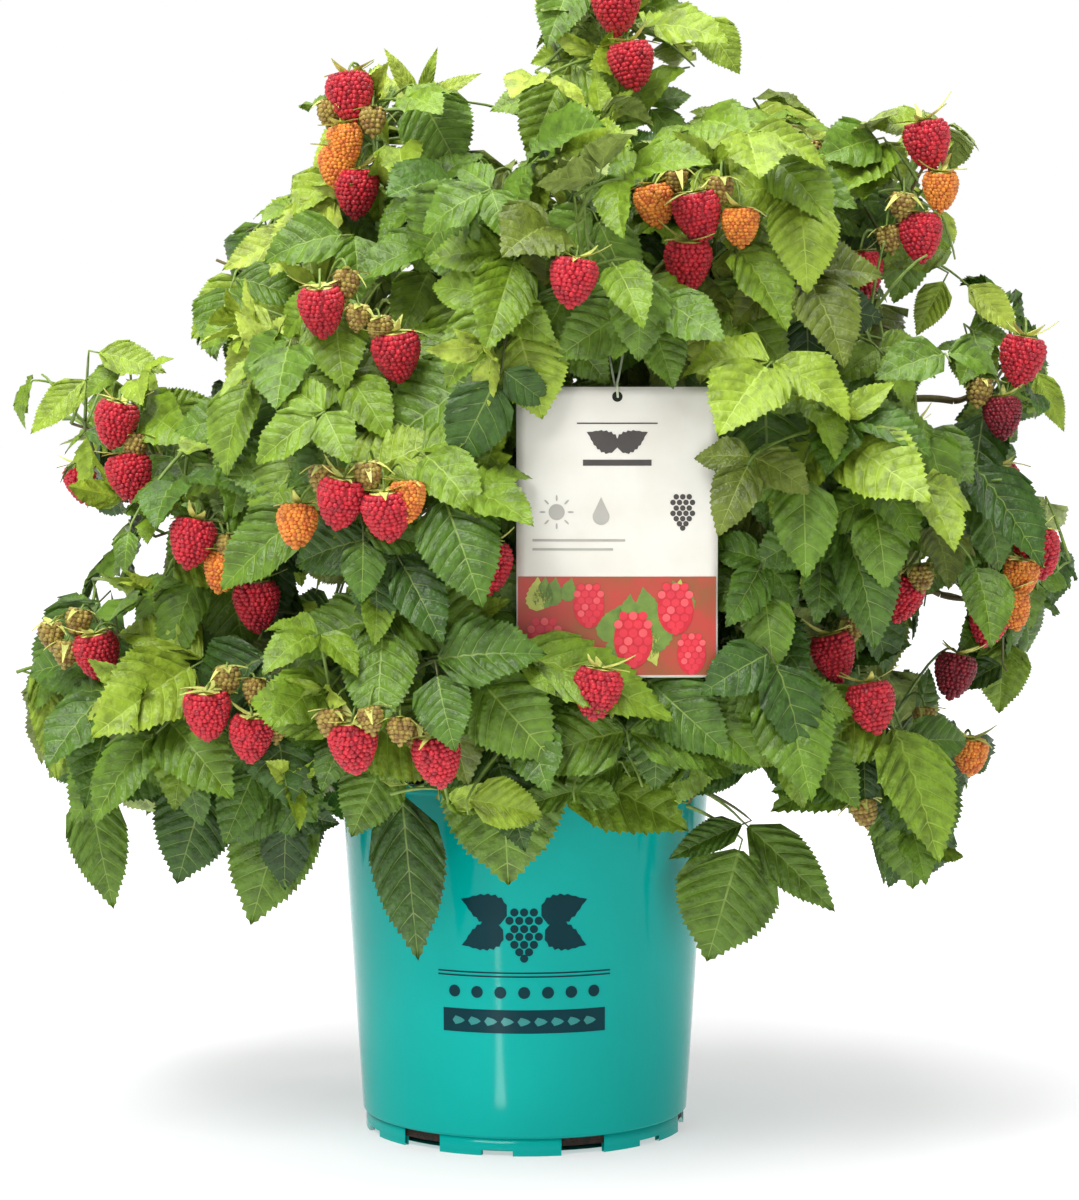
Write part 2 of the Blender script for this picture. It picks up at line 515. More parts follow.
def tie_route():
    """The wire's closed way: through the hole, over the card's top edge and round the front cane."""
    hole = TAG_TOP_CENTRE + Vector((0.0, 0.5 * TAG_THICKNESS, -TAG_HOLE_DROP))
    places = [along_cane("cane_front", i / 100) for i in range(50, 100)]
    cane, along = min(places, key=lambda place: (place[0] - hole).length)
    right = Vector((1.0, 0.0, 0.0))
    back = along.cross(right).normalized()
    back = back if back.y > 0.0 else -back
    loose = cane_radius(0.5) + 3.0 * TIE_RADIUS
    halfway = hole.lerp(cane, 0.5)
    clear = 3.2 * TIE_RADIUS
    over = TAG_HOLE_DROP + clear
    knots = [
        hole,
        hole + Vector((0.0, -clear, 0.3 * over)),
        hole + Vector((0.0, -clear, 0.7 * over)),
        hole + Vector((0.0, 0.0, over)),
        halfway + right * (0.7 * loose) + UP * (0.4 * over),
        cane + right * loose,
        cane + back * loose,
        cane - right * loose,
        halfway - right * (0.7 * loose),
    ]
    route = []
    for k in range(len(knots)):
        before, start, end, after = (knots[(k + i) % len(knots)] for i in (-1, 0, 1, 2))
        tangent_in, tangent_out = (end - before) * 0.5, (after - start) * 0.5
        for t in (0.0, 0.5):
            point = start * (2 * t**3 - 3 * t**2 + 1) + tangent_in * (t**3 - 2 * t**2 + t)
            point += end * (3 * t**2 - 2 * t**3) + tangent_out * (t**3 - t**2)
            route.append(point)
    return route


def wire_ring(route, radius, sides):
    """Points and faces of a tube along a closed way."""
    points = []
    count = len(route)
    side = (route[1] - route[-1]).orthogonal()
    for i, middle in enumerate(route):
        along = (route[(i + 1) % count] - route[i - 1]).normalized()
        side = (side - along * side.dot(along)).normalized()
        points += circle(middle, side, along.cross(side), [radius] * sides)
    last, first = points[-sides:], points[:sides]
    shift = min(range(sides), key=lambda k: (last[0] - first[k]).length)
    faces = bands(count, sides)
    for k in range(sides):
        a, after = (count - 1) * sides, (k + 1) % sides
        faces.append((a + k, a + after, (after + shift) % sides, (k + shift) % sides))
    return points, faces


def seen_at(x, z, depth):
    """The point at a depth that the viewer sees at x and z in the outline's plane."""
    share = (depth - VIEWER.y) / -VIEWER.y
    return Vector((VIEWER.x + (x - VIEWER.x) * share, depth, VIEWER.z + (z - VIEWER.z) * share))


def on_ball(name, x, z):
    """The point on the front of a mass's ball at x and z."""
    centre = Vector(MASSES[name][2])
    ball = FRUIT_SHELL * MASSES[name][3]
    across = (x - centre.x) ** 2 + (z - centre.z) ** 2
    return Vector((x, centre.y - math.sqrt(max(ball**2 - across, (0.3 * ball) ** 2)), z))


def fruit_centres(name, chance):
    """Centre and kind of each of the source's fruits."""
    found = [(on_ball(name, x, z), kind) for x, z, kind in FRUITS.get(name, ())]
    if name.startswith("leaves_back"):
        centre = Vector(MASSES[name][2])
        out = outward(centre)
        for _ in range(BACK_FRUITS):
            aim = (out + random_direction(chance) * BACK_FRUIT_SPREAD).normalized()
            found.append((centre + aim * (FRUIT_SHELL * MASSES[name][3]), "r"))
    return found


def outward(point):
    """The way from the crown's heart to a point."""
    return (point - CROWN_HEART).normalized()


def random_direction(chance):
    while True:
        made = Vector((chance.uniform(-1, 1), chance.uniform(-1, 1), chance.uniform(-1, 1)))
        if 0.1 < made.length < 1.0:
            return made.normalized()


class Shape:
    """One closed body for the touch tests."""

    def __init__(self, body, owner, leaf):
        self.points, self.faces = body
        self.owner = owner
        self.leaf = leaf
        self.middle = sum(self.points, Vector()) / len(self.points)
        self.size = max((point - self.middle).length for point in self.points)
        self.tree = BVHTree.FromPolygons(self.points, self.faces)

    def crosses_itself(self):
        for a, b in self.tree.overlap(self.tree):
            if not set(self.faces[a]) & set(self.faces[b]):
                return True
        return False


MOST_SHAPES = 8000


class Grown:
    """All shapes so far, with their middles in arrays for a quick first test."""

    def __init__(self):
        self.shapes = []
        self.middles = np.zeros((MOST_SHAPES, 3))
        self.sizes = np.zeros(MOST_SHAPES)

    def add(self, shape):
        self.middles[len(self.shapes)] = shape.middle
        self.sizes[len(self.shapes)] = shape.size
        self.shapes.append(shape)

    def touched(self, shape):
        count = len(self.shapes)
        apart = np.linalg.norm(self.middles[:count] - np.array(shape.middle), axis=1)
        for i in np.nonzero(apart <= self.sizes[:count] + shape.size)[0]:
            other = self.shapes[i]
            joined = other.leaf == shape.leaf or "stem" in (other.leaf, shape.leaf)
            if other.owner == shape.owner and joined:
                continue
            if shape.tree.overlap(other.tree):
                return True
        return False


CENTRES = np.array([row[2] for row in MASSES.values()])
REACHES = np.array([row[3] for row in MASSES.values()])


def in_own_space(name, points):
    """True if all are nearer this mass than any other, by the planes in which their balls meet."""
    own = list(MASSES).index(name)
    spots = np.array(points)
    apart = ((spots[:, None, :] - CENTRES[None]) ** 2).sum(axis=2)
    if (apart[:, own] > (REACH_LIMIT * REACHES[own]) ** 2).any():
        return False
    power = apart - REACHES**2
    limits = 2.0 * SPACE_SLACK * np.linalg.norm(CENTRES - CENTRES[own], axis=1)
    return not (power[:, own:own + 1] - power > limits[None] + 1e-12).any()


def as_seen(points):
    """x and z in the outline's plane of points as the viewer sees them."""
    spots = np.array(points)
    share = -VIEWER.y / (spots[:, 1] - VIEWER.y)
    return VIEWER.x + (spots[:, 0] - VIEWER.x) * share, VIEWER.z + (spots[:, 2] - VIEWER.z) * share


def within(corners, x, z):
    """Which of the points lie inside a polygon, by even and odd crossings."""
    before = np.array(corners)
    after = np.roll(before, -1, axis=0)
    crosses = (before[:, 1] > z[:, None]) != (after[:, 1] > z[:, None])
    rise = np.where(after[:, 1] == before[:, 1], 1.0, after[:, 1] - before[:, 1])
    at = before[:, 0] + (after[:, 0] - before[:, 0]) * (z[:, None] - before[:, 1]) / rise
    return (crosses & (x[:, None] < at)).sum(axis=1) % 2 == 1


def in_gap(gaps, x, z):
    """True if any of the points lies in a gap."""
    return any(((x - gap_x) ** 2 + (z - gap_z) ** 2 <= radius**2).any() for gap_x, gap_z, radius in gaps)


def in_outline(points):
    """True if the viewer sees all inside the crown's outline and outside its gaps."""
    x, z = as_seen(points)
    return not in_gap(SKY, x, z) and bool(within(OUTLINE, x, z).all())


def may_show(points):
    """True if a drawn leaflet keeps to the outline, and off the gaps, the tag and the bare parts."""
    x, z = as_seen(points)
    if in_gap(SKY + GAPS, x, z) or within(OUTLINE, x, z).mean() < LEAST_INSIDE:
        return False
    return not (in_bare_part(points) or in_open_view(points))


def in_bare_part(points):
    """True if any shows in front of the pot's bare front or round the leaf that hangs beside it."""
    points = np.array(points)
    x, z = as_seen(points)
    return bool((within(BARE_POT, x, z) & (points[:, 1] < 0.0) | within(BARE_RIGHT, x, z)).any())


def shortened(path):
    """A twig's path up to where it would show in a part that is left bare."""
    for i, point in enumerate(path):
        if in_bare_part([point]):
            return path[:i]
    return path


def in_box(points):
    """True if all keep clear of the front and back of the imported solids' box."""
    depths = np.array(points)[:, 1]
    return bool(depths.min() > CAD_LOW[1] + BOX_ROOM and depths.max() < CAD_HIGH[1] - BOX_ROOM)


def in_open_view(points, open_views=()):
    """True if any is in the space kept open in front of the tag and of each fruit."""
    spots = np.array(points)
    top = TAG_TOP_CENTRE
    beside = np.abs(spots[:, 0] - top.x) < 0.5 * TAG_WIDTH - TAG_OVERLAP
    below = (spots[:, 2] > top.z - TAG_HEIGHT + TAG_OVERLAP) & (spots[:, 2] < top.z - 0.5 * TAG_OVERLAP)
    if (beside & below & (spots[:, 1] < top.y + TAG_ROOM)).any():
        return True
    if not open_views:
        return False
    centres = np.array([view[0] for view in open_views])
    aheads = np.array([view[1] for view in open_views])
    offsets = spots[:, None, :] - centres[None]
    along = (offsets * aheads[None]).sum(axis=2)
    away = np.linalg.norm(offsets - aheads[None] * along[:, :, None], axis=2)
    return bool(((along > 0.0) & (along < FRUIT_VIEW) & (away < FRUIT_RADIUS)).any())


def spread(i):
    """The i-th of a series of pairs from 0 to 1 that fills the square evenly."""
    return (0.5 + i * 0.7548776662) % 1.0, (0.5 + i * 0.5698402910) % 1.0


def next_leaf(name, number, path, chance, fine=None):
    """Where a mass's next leaf goes. A fine one may sit anywhere in the ball, and is smaller."""
    _, _, centre, reach, _, droop, _ = MASSES[name]
    centre = Vector(centre)
    out = outward(centre)
    high, turn = spread(number)
    level = 1.0 - (fine["spread"] if fine else AIM_SPREAD) * high
    side = out.orthogonal().normalized()
    round_way = side * math.cos(WHOLE * turn) + out.cross(side) * math.sin(WHOLE * turn)
    aim = out * level + round_way * math.sqrt(max(0.0, 1.0 - level * level))
    length = LEAFLET_LENGTH * chance.uniform(*(fine["lengths"] if fine else LENGTHS))
    if not fine:
        length *= 1.0 - (1.0 - LAST_TRY) * number / TRIES
    joint = centre + aim * (reach * chance.uniform(*(fine["places"] if fine else JOINT_PLACES)))
    if fine:
        root = min(path, key=lambda point: abs((point - joint).length - fine["stalk"]))
    else:
        nearest = min(range(1, len(path)), key=lambda i: (path[i] - joint).length)
        root = path[nearest].lerp(path[nearest - 1], chance.uniform(0.1, 0.9))
    level_out = Vector((out.x, out.y, 0.0))
    onward, level_share, chance_share = HEADING_MIX
    heading = aim * onward + level_out * level_share - UP * droop
    heading += random_direction(chance) * (chance_share + (fine["loose"][0] if fine else 0.0))
    heading.normalize()
    to_front = min(1.0, max(0.0, 1.0 - centre.y / BACK_BEGINS))
    outwards, up, front, chance_share = FACING_MIX
    facing = out * outwards + UP * up + FRONT * (front * to_front)
    facing += random_direction(chance) * (chance_share + (fine["loose"][1] if fine else 0.0))
    facing = (facing - heading * facing.dot(heading)).normalized()
    return root, joint, heading, facing, length


def leaf_shapes(name, number, root, joint, heading, facing, length, shrink=1.0):
    """A leaf's stalk and each of its leaflets, apart."""
    radii = [STALK_RADIUS * STALK_FOOT, STALK_RADIUS, STALK_RADIUS]
    stalk = tube([root, joint - heading * KNUCKLE, joint], radii, 3)
    shapes = [Shape(stalk, name, number)]
    for k in range(3):
        only = [k == other for other in range(3)]
        body = leaf_body(joint - heading * 2 * KNUCKLE, joint, heading, facing, length * shrink, only)
        shapes.append(Shape(body, name, number))
    return shapes


def pot_block():
    """A lathe form of the pot, with room to spare."""
    sides, height = 24, POT_HEIGHT + LIMB_CLEARANCE
    rings = ((POT_BASE_RADIUS + LIMB_CLEARANCE, 0.0), (POT_RIM_RADIUS + 2 * LIMB_CLEARANCE, height))
    points = [Vector((0.0, 0.0, 0.0)), Vector((0.0, 0.0, height))]
    for radius, level in rings:
        points += [Vector((radius * cosine, radius * sine, level)) for cosine, sine in turns(sides, 0.5)]
    faces = bands(2, sides, 2)
    faces += [(0, b, a) for a, b, _, _ in faces] + [(1, d, c) for _, _, c, d in faces]
    return points, faces


def tag_block():
    """A box round the card, with room to spare."""
    points = []
    for y in (-TAG_FOLD_LEAN - LIMB_CLEARANCE, TAG_THICKNESS + LIMB_CLEARANCE):
        for z in (LIMB_CLEARANCE, -TAG_HEIGHT - LIMB_CLEARANCE):
            for x in (-0.5 * TAG_WIDTH - LIMB_CLEARANCE, 0.5 * TAG_WIDTH + LIMB_CLEARANCE):
                points.append(TAG_TOP_CENTRE + Vector((x, y, z)))
    faces = [(0, 2, 3, 1), (4, 5, 7, 6), (0, 1, 5, 4), (2, 6, 7, 3), (0, 4, 6, 2), (1, 3, 7, 5)]
    return points, faces


# The crown: the source's leaves and fruit first, then finer twigs and leaves between them

# How a fine leaf's aim spreads, its length, its joint's place in the ball, its stalk and what chance
# adds to where it heads and faces
FINE = {"spread": 2.0, "lengths": (0.46, 0.80), "places": (0.25, 1.05), "stalk": 0.028, "loose": (0.35, 0.15)}
FINE_TRIES = 320
FINE_NUMBERS = 1000  # a fine leaf's number starts here
FINE_LEAVES = 4.0  # fine leaves for each of the source's
FINE_SHRINK = 0.72  # of a fine leaf's size in its touch test
TWIG_DRAWS, FINE_DRAWS, DRAWN_DRAWS = 1000, 2000, 3000  # added to a mass's seed for each round of draws
BOX_ROOM = 0.008
TWIGS = 5
TWIG_STEPS = 6
TWIG_REACH = 0.80
TWIG_RADIUS = 0.0012
STEM_POINTS = 12  # of the finer path that twigs leave
PLACED_LEAN = 0.008  # how much nearer than its foot a placed leaflet's tip is
PLACED_SHRINK = 0.8  # of a placed leaflet's size in the touch tests
SHOWN_HIGH, SHOWN_LOW = 0.76, 0.96  # how large the source's leaves are drawn, high up and low down
SHOWN_FROM, SHOWN_RISE = 0.24, 0.20  # the height where the one starts and the rise to the other


class Crown:
    """What has grown so far: all bodies for the touch tests, and what each mass is drawn with."""

    def __init__(self):
        self.grown = Grown()
        self.open_views = []
        self.stems = {}
        self.twigs = {name: [] for name in MASSES}
        self.leaves = {name: [] for name in MASSES}
        self.placed = {name: [] for name in MASSES}
        self.fruits = {name: [] for name in MASSES}

    def fits(self, shape):
        if not in_own_space(shape.owner, shape.points) or not in_outline(shape.points):
            return False
        if in_open_view(shape.points, self.open_views):
            return False
        return not self.grown.touched(shape)

    def add_limbs(self):
        for name in CANES:
            path = cane_path(name)
            radii = []
            for i, point in enumerate(path):
                low = max(0.0, 1.0 - (point.z - path[0].z) / CANE_FLARE_HEIGHT)
                radii.append(cane_radius(i / CANE_STEPS) * (1.0 + CANE_FLARE * low) + LIMB_CLEARANCE)
            self.grown.add(Shape(tube(path, radii, CANE_SIDES, UP), name, "limb"))
        self.grown.add(Shape(pot_block(), "pot", "limb"))
        self.grown.add(Shape(tag_block(), "hang_tag", "limb"))
        self.grown.add(Shape(wire_ring(tie_route(), 3 * TIE_RADIUS, TIE_SIDES), "tag_tie", "limb"))

    def add_source(self):
        """The source's own stems, fruit and leaves, in its order of draws."""
        chances = {}
        for name, row in MASSES.items():
            path, leave = stem_path(name)
            radii = [STEM_RADIUS * (1.0 - STEM_TAPER * i / STEM_STEPS) for i in range(STEM_STEPS + 1)]
            self.grown.add(Shape(tube(path, radii, STEM_SIDES, leave), name, "stem"))
            self.stems[name] = path
            chances[name] = random.Random(row[6])
        for name in MASSES:
            for centre, kind in fruit_centres(name, chances[name]):
                path = self.stems[name]
                root = min(path[1:], key=lambda point: abs((point - centre).length - FRUIT_STALK))
                self.add_fruit(name, centre, kind, root)
        for name in MASSES:
            grown = 0
            for number in range(TRIES):
                if grown == MASSES[name][4]:
                    break
                place = next_leaf(name, number, self.stems[name], chances[name])
                grown += self.try_leaf(name, number, place, 1.0)

    def add_fruit(self, name, centre, kind, root):
        top = centre + UP * (FRUIT_TOP * FRUIT_LENGTH)
        over = centre + UP * (STALK_BEND * FRUIT_LENGTH) + (root - centre) * STALK_LEAN
        self.grown.add(Shape(hanging_fruit(centre, [root, over, top]), name, "fruit"))
        self.open_views.append((centre, outward(centre) if centre.y > FRONT_ENDS else FRONT))
        self.fruits[name].append((centre, kind, root))

    def try_leaf(self, name, number, place, shrink):
        stalk, *leaflets = leaf_shapes(name, number, *place, shrink)
        if not self.fits(stalk):
            return 0
        if number >= FINE_NUMBERS and not in_box([point for part in leaflets for point in part.points]):
            return 0
        wanted = [self.fits(part) for part in leaflets]
        if not wanted[1]:
            return 0
        root, joint, heading, facing, length = place
        leaf = Shape(leaf_body(root, joint, heading, facing, length * shrink, wanted), name, number)
        if leaf.crosses_itself():
            return 0
        self.grown.add(leaf)
        if number < FINE_NUMBERS:
            high = min(1.0, max(0.0, (joint.z - SHOWN_FROM) / SHOWN_RISE))
            length *= SHOWN_LOW + (SHOWN_HIGH - SHOWN_LOW) * high
        self.leaves[name].append(((root, joint, heading, facing, length), wanted))
        return 1

    def add_placed(self):
        """The leaflets that stand out in the photo, each with the mass whose stem is nearest."""
        roots = []
        for name in MASSES:
            roots += [(name, point) for point in shortened(stem_path(name, STEM_POINTS)[0])[2:]]
        for foot_x, foot_z, tip_x, tip_z, depth, green, width, up in PLACED:
            foot, tip = seen_at(foot_x, foot_z, depth), seen_at(tip_x, tip_z, depth - PLACED_LEAN)
            name, root = min(roots, key=lambda pair: (pair[1] - foot).length)
            heading = (tip - foot).normalized()
            facing = FRONT + UP * up
            facing = (facing - heading * facing.dot(heading)).normalized()
            length = (tip - foot).length
            start = foot - heading * (END_STALK * length)
            body = leaf_body(start, start, heading, facing, PLACED_SHRINK * length, (False, True, False))
            self.grown.add(Shape(body, "placed", "limb"))
            self.placed[name].append((root, foot, heading, facing, length, green, width))

    def add_fine(self):
        """Twigs from each stem, and smaller leaves from stem and twigs in what space is left."""
        for name, row in MASSES.items():
            chance = random.Random(row[6] + TWIG_DRAWS)
            for x, z, kind in MORE_FRUITS.get(name, ()):
                centre = on_ball(name, x, z)
                root = min(self.stems[name][1:], key=lambda point: (point - centre).length)
                self.open_views.append((centre, FRONT))
                self.fruits[name].append((centre, kind, root))
            self.add_twigs(name, chance)
        for name, row in MASSES.items():
            chance = random.Random(row[6] + FINE_DRAWS)
            roots = list(self.stems[name][1:])
            for twig in self.twigs[name]:
                roots += twig[1:]
            grown = 0
            for number in range(FINE_TRIES):
                if grown >= FINE_LEAVES * row[4]:
                    break
                place = next_leaf(name, number, roots, chance, FINE)
                grown += self.try_leaf(name, FINE_NUMBERS + number, place, FINE_SHRINK)

    def add_twigs(self, name, chance):
        path = stem_path(name, STEM_POINTS)[0]
        centre, reach = Vector(MASSES[name][2]), MASSES[name][3]
        for _ in range(TWIGS):
            i = chance.randrange(STEM_POINTS // 3, STEM_POINTS)
            start = path[i]
            along = (path[i + 1] - path[i - 1]).normalized()
            aim = (random_direction(chance) + outward(centre) * 0.5).normalized()
            end = centre + aim * (reach * TWIG_REACH * chance.uniform(0.6, 1.0))
            bend = start + (along + aim).normalized() * (0.4 * (end - start).length)
            twig = bezier(start, bend, end.lerp(bend, 0.3) + UP * 0.006, end, TWIG_STEPS)
            shape = Shape(tube(twig, [TWIG_RADIUS] * len(twig), 3), name, "stem")
            inside = in_own_space(name, shape.points) and in_outline(shape.points)
            if inside and not self.grown.touched(shape):
                self.grown.add(shape)
                self.twigs[name].append(twig)


# Meshes

LEAF_PIECE_TRIANGLES = 170000  # a piece of leaves is closed after the mass that passes this
FRUIT_PIECE_TRIANGLES = 110000  # and a piece of fruit after the mass that passes this


class Heap:
    """Triangles of one kind, with a material for each, that become a joined piece."""

    def __init__(self):
        self.points, self.triangles, self.finishes = [], [], []
        self.count = 0
        self.size = 0

    def add(self, points, triangles, finishes):
        self.points.append(np.asarray(points, np.float32))
        self.triangles.append(np.asarray(triangles, np.int32) + self.count)
        self.finishes.append(np.broadcast_to(np.asarray(finishes, np.int32), (len(triangles),)))
        self.count += len(points)
        self.size += len(triangles)

    def add_tube(self, path, radii, sides, finish, start_along=None):
        points, faces = tube(path, radii, sides, start_along)
        self.add([tuple(point) for point in points], triangulated(faces), finish)

    def piece(self, name, slot, finishes, replaced=()):
        """A joined piece that rides on the plant's body."""
        points = np.concatenate(self.points)
        triangles = np.concatenate(self.triangles)
        mesh = bpy.data.meshes.new(name)
        mesh.vertices.add(len(points))
        mesh.vertices.foreach_set("co", points.ravel())
        mesh.loops.add(3 * len(triangles))
        mesh.loops.foreach_set("vertex_index", triangles.ravel())
        mesh.polygons.add(len(triangles))
        mesh.polygons.foreach_set("loop_start", np.arange(0, 3 * len(triangles), 3, dtype=np.int32))
        mesh.polygons.foreach_set("material_index", np.concatenate(self.finishes))
        mesh.polygons.foreach_set("use_smooth", np.ones(len(triangles), bool))
        mesh.update(calc_edges=True)
        mesh.validate()
        for finish in finishes:
            mesh.materials.append(finish)
        made = bpy.data.objects.new(name, mesh)
        bpy.context.scene.collection.objects.link(made)
        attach(made, "root")
        if replaced:
            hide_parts(*replaced)
        return made


def triangulated(faces):
    found = []
    for face in faces:
        for k in range(1, len(face) - 1):
            found.append((face[0], face[k], face[k + 1]))
    return found


# A leaflet of length 1: how its tip narrows, where its veins start, how broad they are, how far the
# teeth stand out at a vein and between two, and how high the blade swells between them
TIP_TAPER = 0.42
VEIN_SPAN = (0.05, 0.78)
VEIN_HALF_WIDTH = 0.0055
VEIN_TOOTH, PANEL_TOOTH = (0.022, 0.016), (0.013, 0.009)
QUILTING = 0.25


def half_width(t):
    """A leaflet's half width at a share of its length, for length 1."""
    t = np.clip(t, 0.0, 1.0)
    late = np.clip((t - 0.72) / 0.28, 0.0, 1.0)
    return 0.5 * LEAFLET_WIDTH * np.sin(np.pi * t**0.62) ** 0.85 * (1.0 - TIP_TAPER * late)


def leaflet_template(veins, rows, strips):
    """Points (along, across, height) of a leaflet of length 1, its triangles and which are vein."""
    columns = [(0.0, "end")]
    first, span = VEIN_SPAN
    starts = [first + span * k / (veins - 1) for k in range(veins)]
    before = 0.0
    for start in starts:
        columns.append((0.5 * (before + start), "panel"))
        for shift in ((-VEIN_HALF_WIDTH, VEIN_HALF_WIDTH) if strips else (0.0,)):
            columns.append((start + shift, "vein"))
        before = start
    columns += [(0.5 * (before + 1.0), "panel"), (1.0, "end")]
    points, triangles, is_vein = [], [], []
    ribs = {}
    for side in (1, -1):
        grid, rims = [], []
        for u, kind in columns:
            grid.append([])
            centre = round(min(starts, key=lambda s: abs(s - u)), 4) if kind == "vein" else u
            t = centre
            for _ in range(8):
                t = min(1.0, centre + (0.95 - 0.45 * centre) * float(half_width(t)))
            if kind == "end":
                t = u
            rib = 0.010 * (1.0 - 0.8 * u)
            rims.append(t)
            edge = np.array((t, float(half_width(t))))
            if kind == "vein":
                edge += VEIN_TOOTH
            elif kind == "panel":
                edge += PANEL_TOOTH
            elif u == 0.0:
                edge = np.array((-0.006, 0.030))
            for r in range(rows + 1):
                f = r / rows
                spot = np.array((u, rib)) * (1.0 - f) + edge * f
                spot[0] -= 0.10 * (t - u) * math.sin(math.pi * f)
                height = -0.006 * (1.0 - f)
                if kind == "panel":
                    height += QUILTING * float(half_width(t)) * math.sin(math.pi * (0.12 + 0.80 * f))
                grid[-1].append(len(points))
                points.append((spot[0], side * spot[1], height))
            if kind == "vein" and strips and columns[len(grid) - 2][1] == "vein":
                points[grid[-1][-1]] = points[grid[-2][-1]]
        ribs[side] = [column[0] for column in grid]
        for j in range(len(grid) - 1):
            low, high = grid[j], grid[j + 1]
            strip = columns[j][1] == "vein" and columns[j + 1][1] == "vein"
            cells = []
            for r in range(rows - 1):
                cells += [(low[r], high[r], high[r + 1]), (low[r], high[r + 1], low[r + 1])]
            if strip:
                cells.append((low[-2], high[-2], high[-1]))
            else:
                t = 0.5 * (rims[j] + rims[j + 1])
                notch = len(points)
                points.append((t, side * float(half_width(t)) * 0.97, 0.0))
                cells += [(low[-2], notch, low[-1]), (low[-2], high[-2], notch), (high[-2], high[-1], notch)]
            for cell in cells:
                triangles.append(cell if side > 0 else cell[::-1])
                is_vein.append(strip)
    for j in range(len(columns) - 1):
        a, b, c, d = ribs[1][j], ribs[1][j + 1], ribs[-1][j + 1], ribs[-1][j]
        triangles += [(a, d, c), (a, c, b)]
        is_vein += [True, True]
    return np.array(points), np.array(triangles)[:, ::-1], np.array(is_vein)


def lay_leaflet(template, base, axis, facing, length, form):
    """A template's points bent and placed. form holds width, droop, fold, wave and phase."""
    points, _, _ = template
    width, droop, fold, wave, phase = form
    a, b, h = points[:, 0], points[:, 1] * width, points[:, 2]
    share = np.abs(b) / (0.5 * LEAFLET_WIDTH)
    h = h + np.abs(b) * math.sin(fold) - 0.35 * fold * b * b / (0.5 * LEAFLET_WIDTH)
    h = h + wave * share**2 * np.sin(WHOLE * (2.3 * a + phase) + np.sign(b))
    b = b * math.cos(fold)
    bend = 2.0 * max(droop, 0.02)
    ahead = np.sin(bend * a) / bend + h * np.sin(bend * a)
    rise = -(1.0 - np.cos(bend * a)) / bend + h * np.cos(bend * a)
    across = axis.cross(facing)
    return (np.array(base) + length * (np.outer(ahead, axis) + np.outer(rise, facing) + np.outer(b, across)))


def srgb(red, green, blue):
    """Linear values of a colour given from 0 to 255."""
    shares = (v / 255.0 for v in (red, green, blue))
    return tuple(v / 12.92 if v <= 0.0404 else ((v + 0.055) / 1.055) ** 2.4 for v in shares)


def material(name, colour, roughness=0.5, detail=None, bump=None, **sockets):
    """A Principled material. detail mixes in a second colour by noise, bump adds fine relief."""
    made = bpy.data.materials.new(name)
    made.use_nodes = True
    nodes, links = made.node_tree.nodes, made.node_tree.links
    shader = nodes["Principled BSDF"]
    sockets |= {"Base_Color": (*colour, 1.0), "Roughness": roughness}
    for key, value in sockets.items():
        shader.inputs[key.replace("_", " ")].default_value = value
    coordinates = nodes.new("ShaderNodeTexCoord")

    def noise_by(scale, octaves):
        texture = nodes.new("ShaderNodeTexNoise")
        texture.inputs["Scale"].default_value = scale
        texture.inputs["Detail"].default_value = octaves
        links.new(coordinates.outputs["Object"], texture.inputs["Vector"])
        return texture.outputs["Fac"]

    if detail:
        other, scale, low, high = detail
        ramp = nodes.new("ShaderNodeValToRGB")
        for element, position, shade in zip(ramp.color_ramp.elements, (low, high), (colour, other)):
            element.position = position
            element.color = (*shade, 1.0)
        links.new(noise_by(scale, 4.0), ramp.inputs["Fac"])
        links.new(ramp.outputs["Color"], shader.inputs["Base Color"])
    if bump:
        scale, strength, distance = bump
        node = nodes.new("ShaderNodeBump")
        node.inputs["Strength"].default_value = strength
        node.inputs["Distance"].default_value = distance
        links.new(noise_by(scale, 3.0), node.inputs["Height"])
        links.new(node.outputs["Normal"], shader.inputs["Normal"])
    return made


def tinted(colour, amount):
    return tuple(min(1.0, v * amount) for v in colour)


# Leaves

TO_FRONT = 0.25  # how far leaves at the front are drawn turned to it

GREENS = [
    srgb(46, 76, 24), srgb(60, 94, 28), srgb(78, 113, 31), srgb(97, 131, 34),
    srgb(120, 151, 40), srgb(145, 171, 50), srgb(170, 190, 70),
]
PALE = srgb(154, 172, 90)
OLIVE = srgb(102, 118, 38)
PALE_SHARE, OLIVE_SHARE = 0.6, 0.06  # of the leaves turned away from the viewer, and of the rest
VEIN, VEIN_SHARE = srgb(205, 220, 110), 0.20  # what veins are lightened with, and how far
# A leaf's tone, counted in greens: low in the crown, what it gains to the top and for facing up, what
# it loses inside and low on the right, what it gains far on the left, and the spread of chance
TONE = {"low": 1.5, "high": 1.6, "up": 1.5, "inside": 1.2, "right": 0.3, "left": 0.5, "chance": 1.1}


def leaf_materials():
    """A blade and a vein for each green, in turn."""
    found = []
    for i, green in enumerate(GREENS + [PALE, OLIVE]):
        lighter = tuple(v + VEIN_SHARE * (w - v) for v, w in zip(green, VEIN))
        found += [
            material(
                f"leaf_{i}", green, 0.38, (tinted(green, 0.58), 130.0, 0.42, 0.66), (300.0, 0.85, 0.0014),
                Specular_IOR_Level=0.36),
            material(f"vein_{i}", lighter, 0.5, (green, 120.0, 0.5, 0.8)),
        ]
    return found


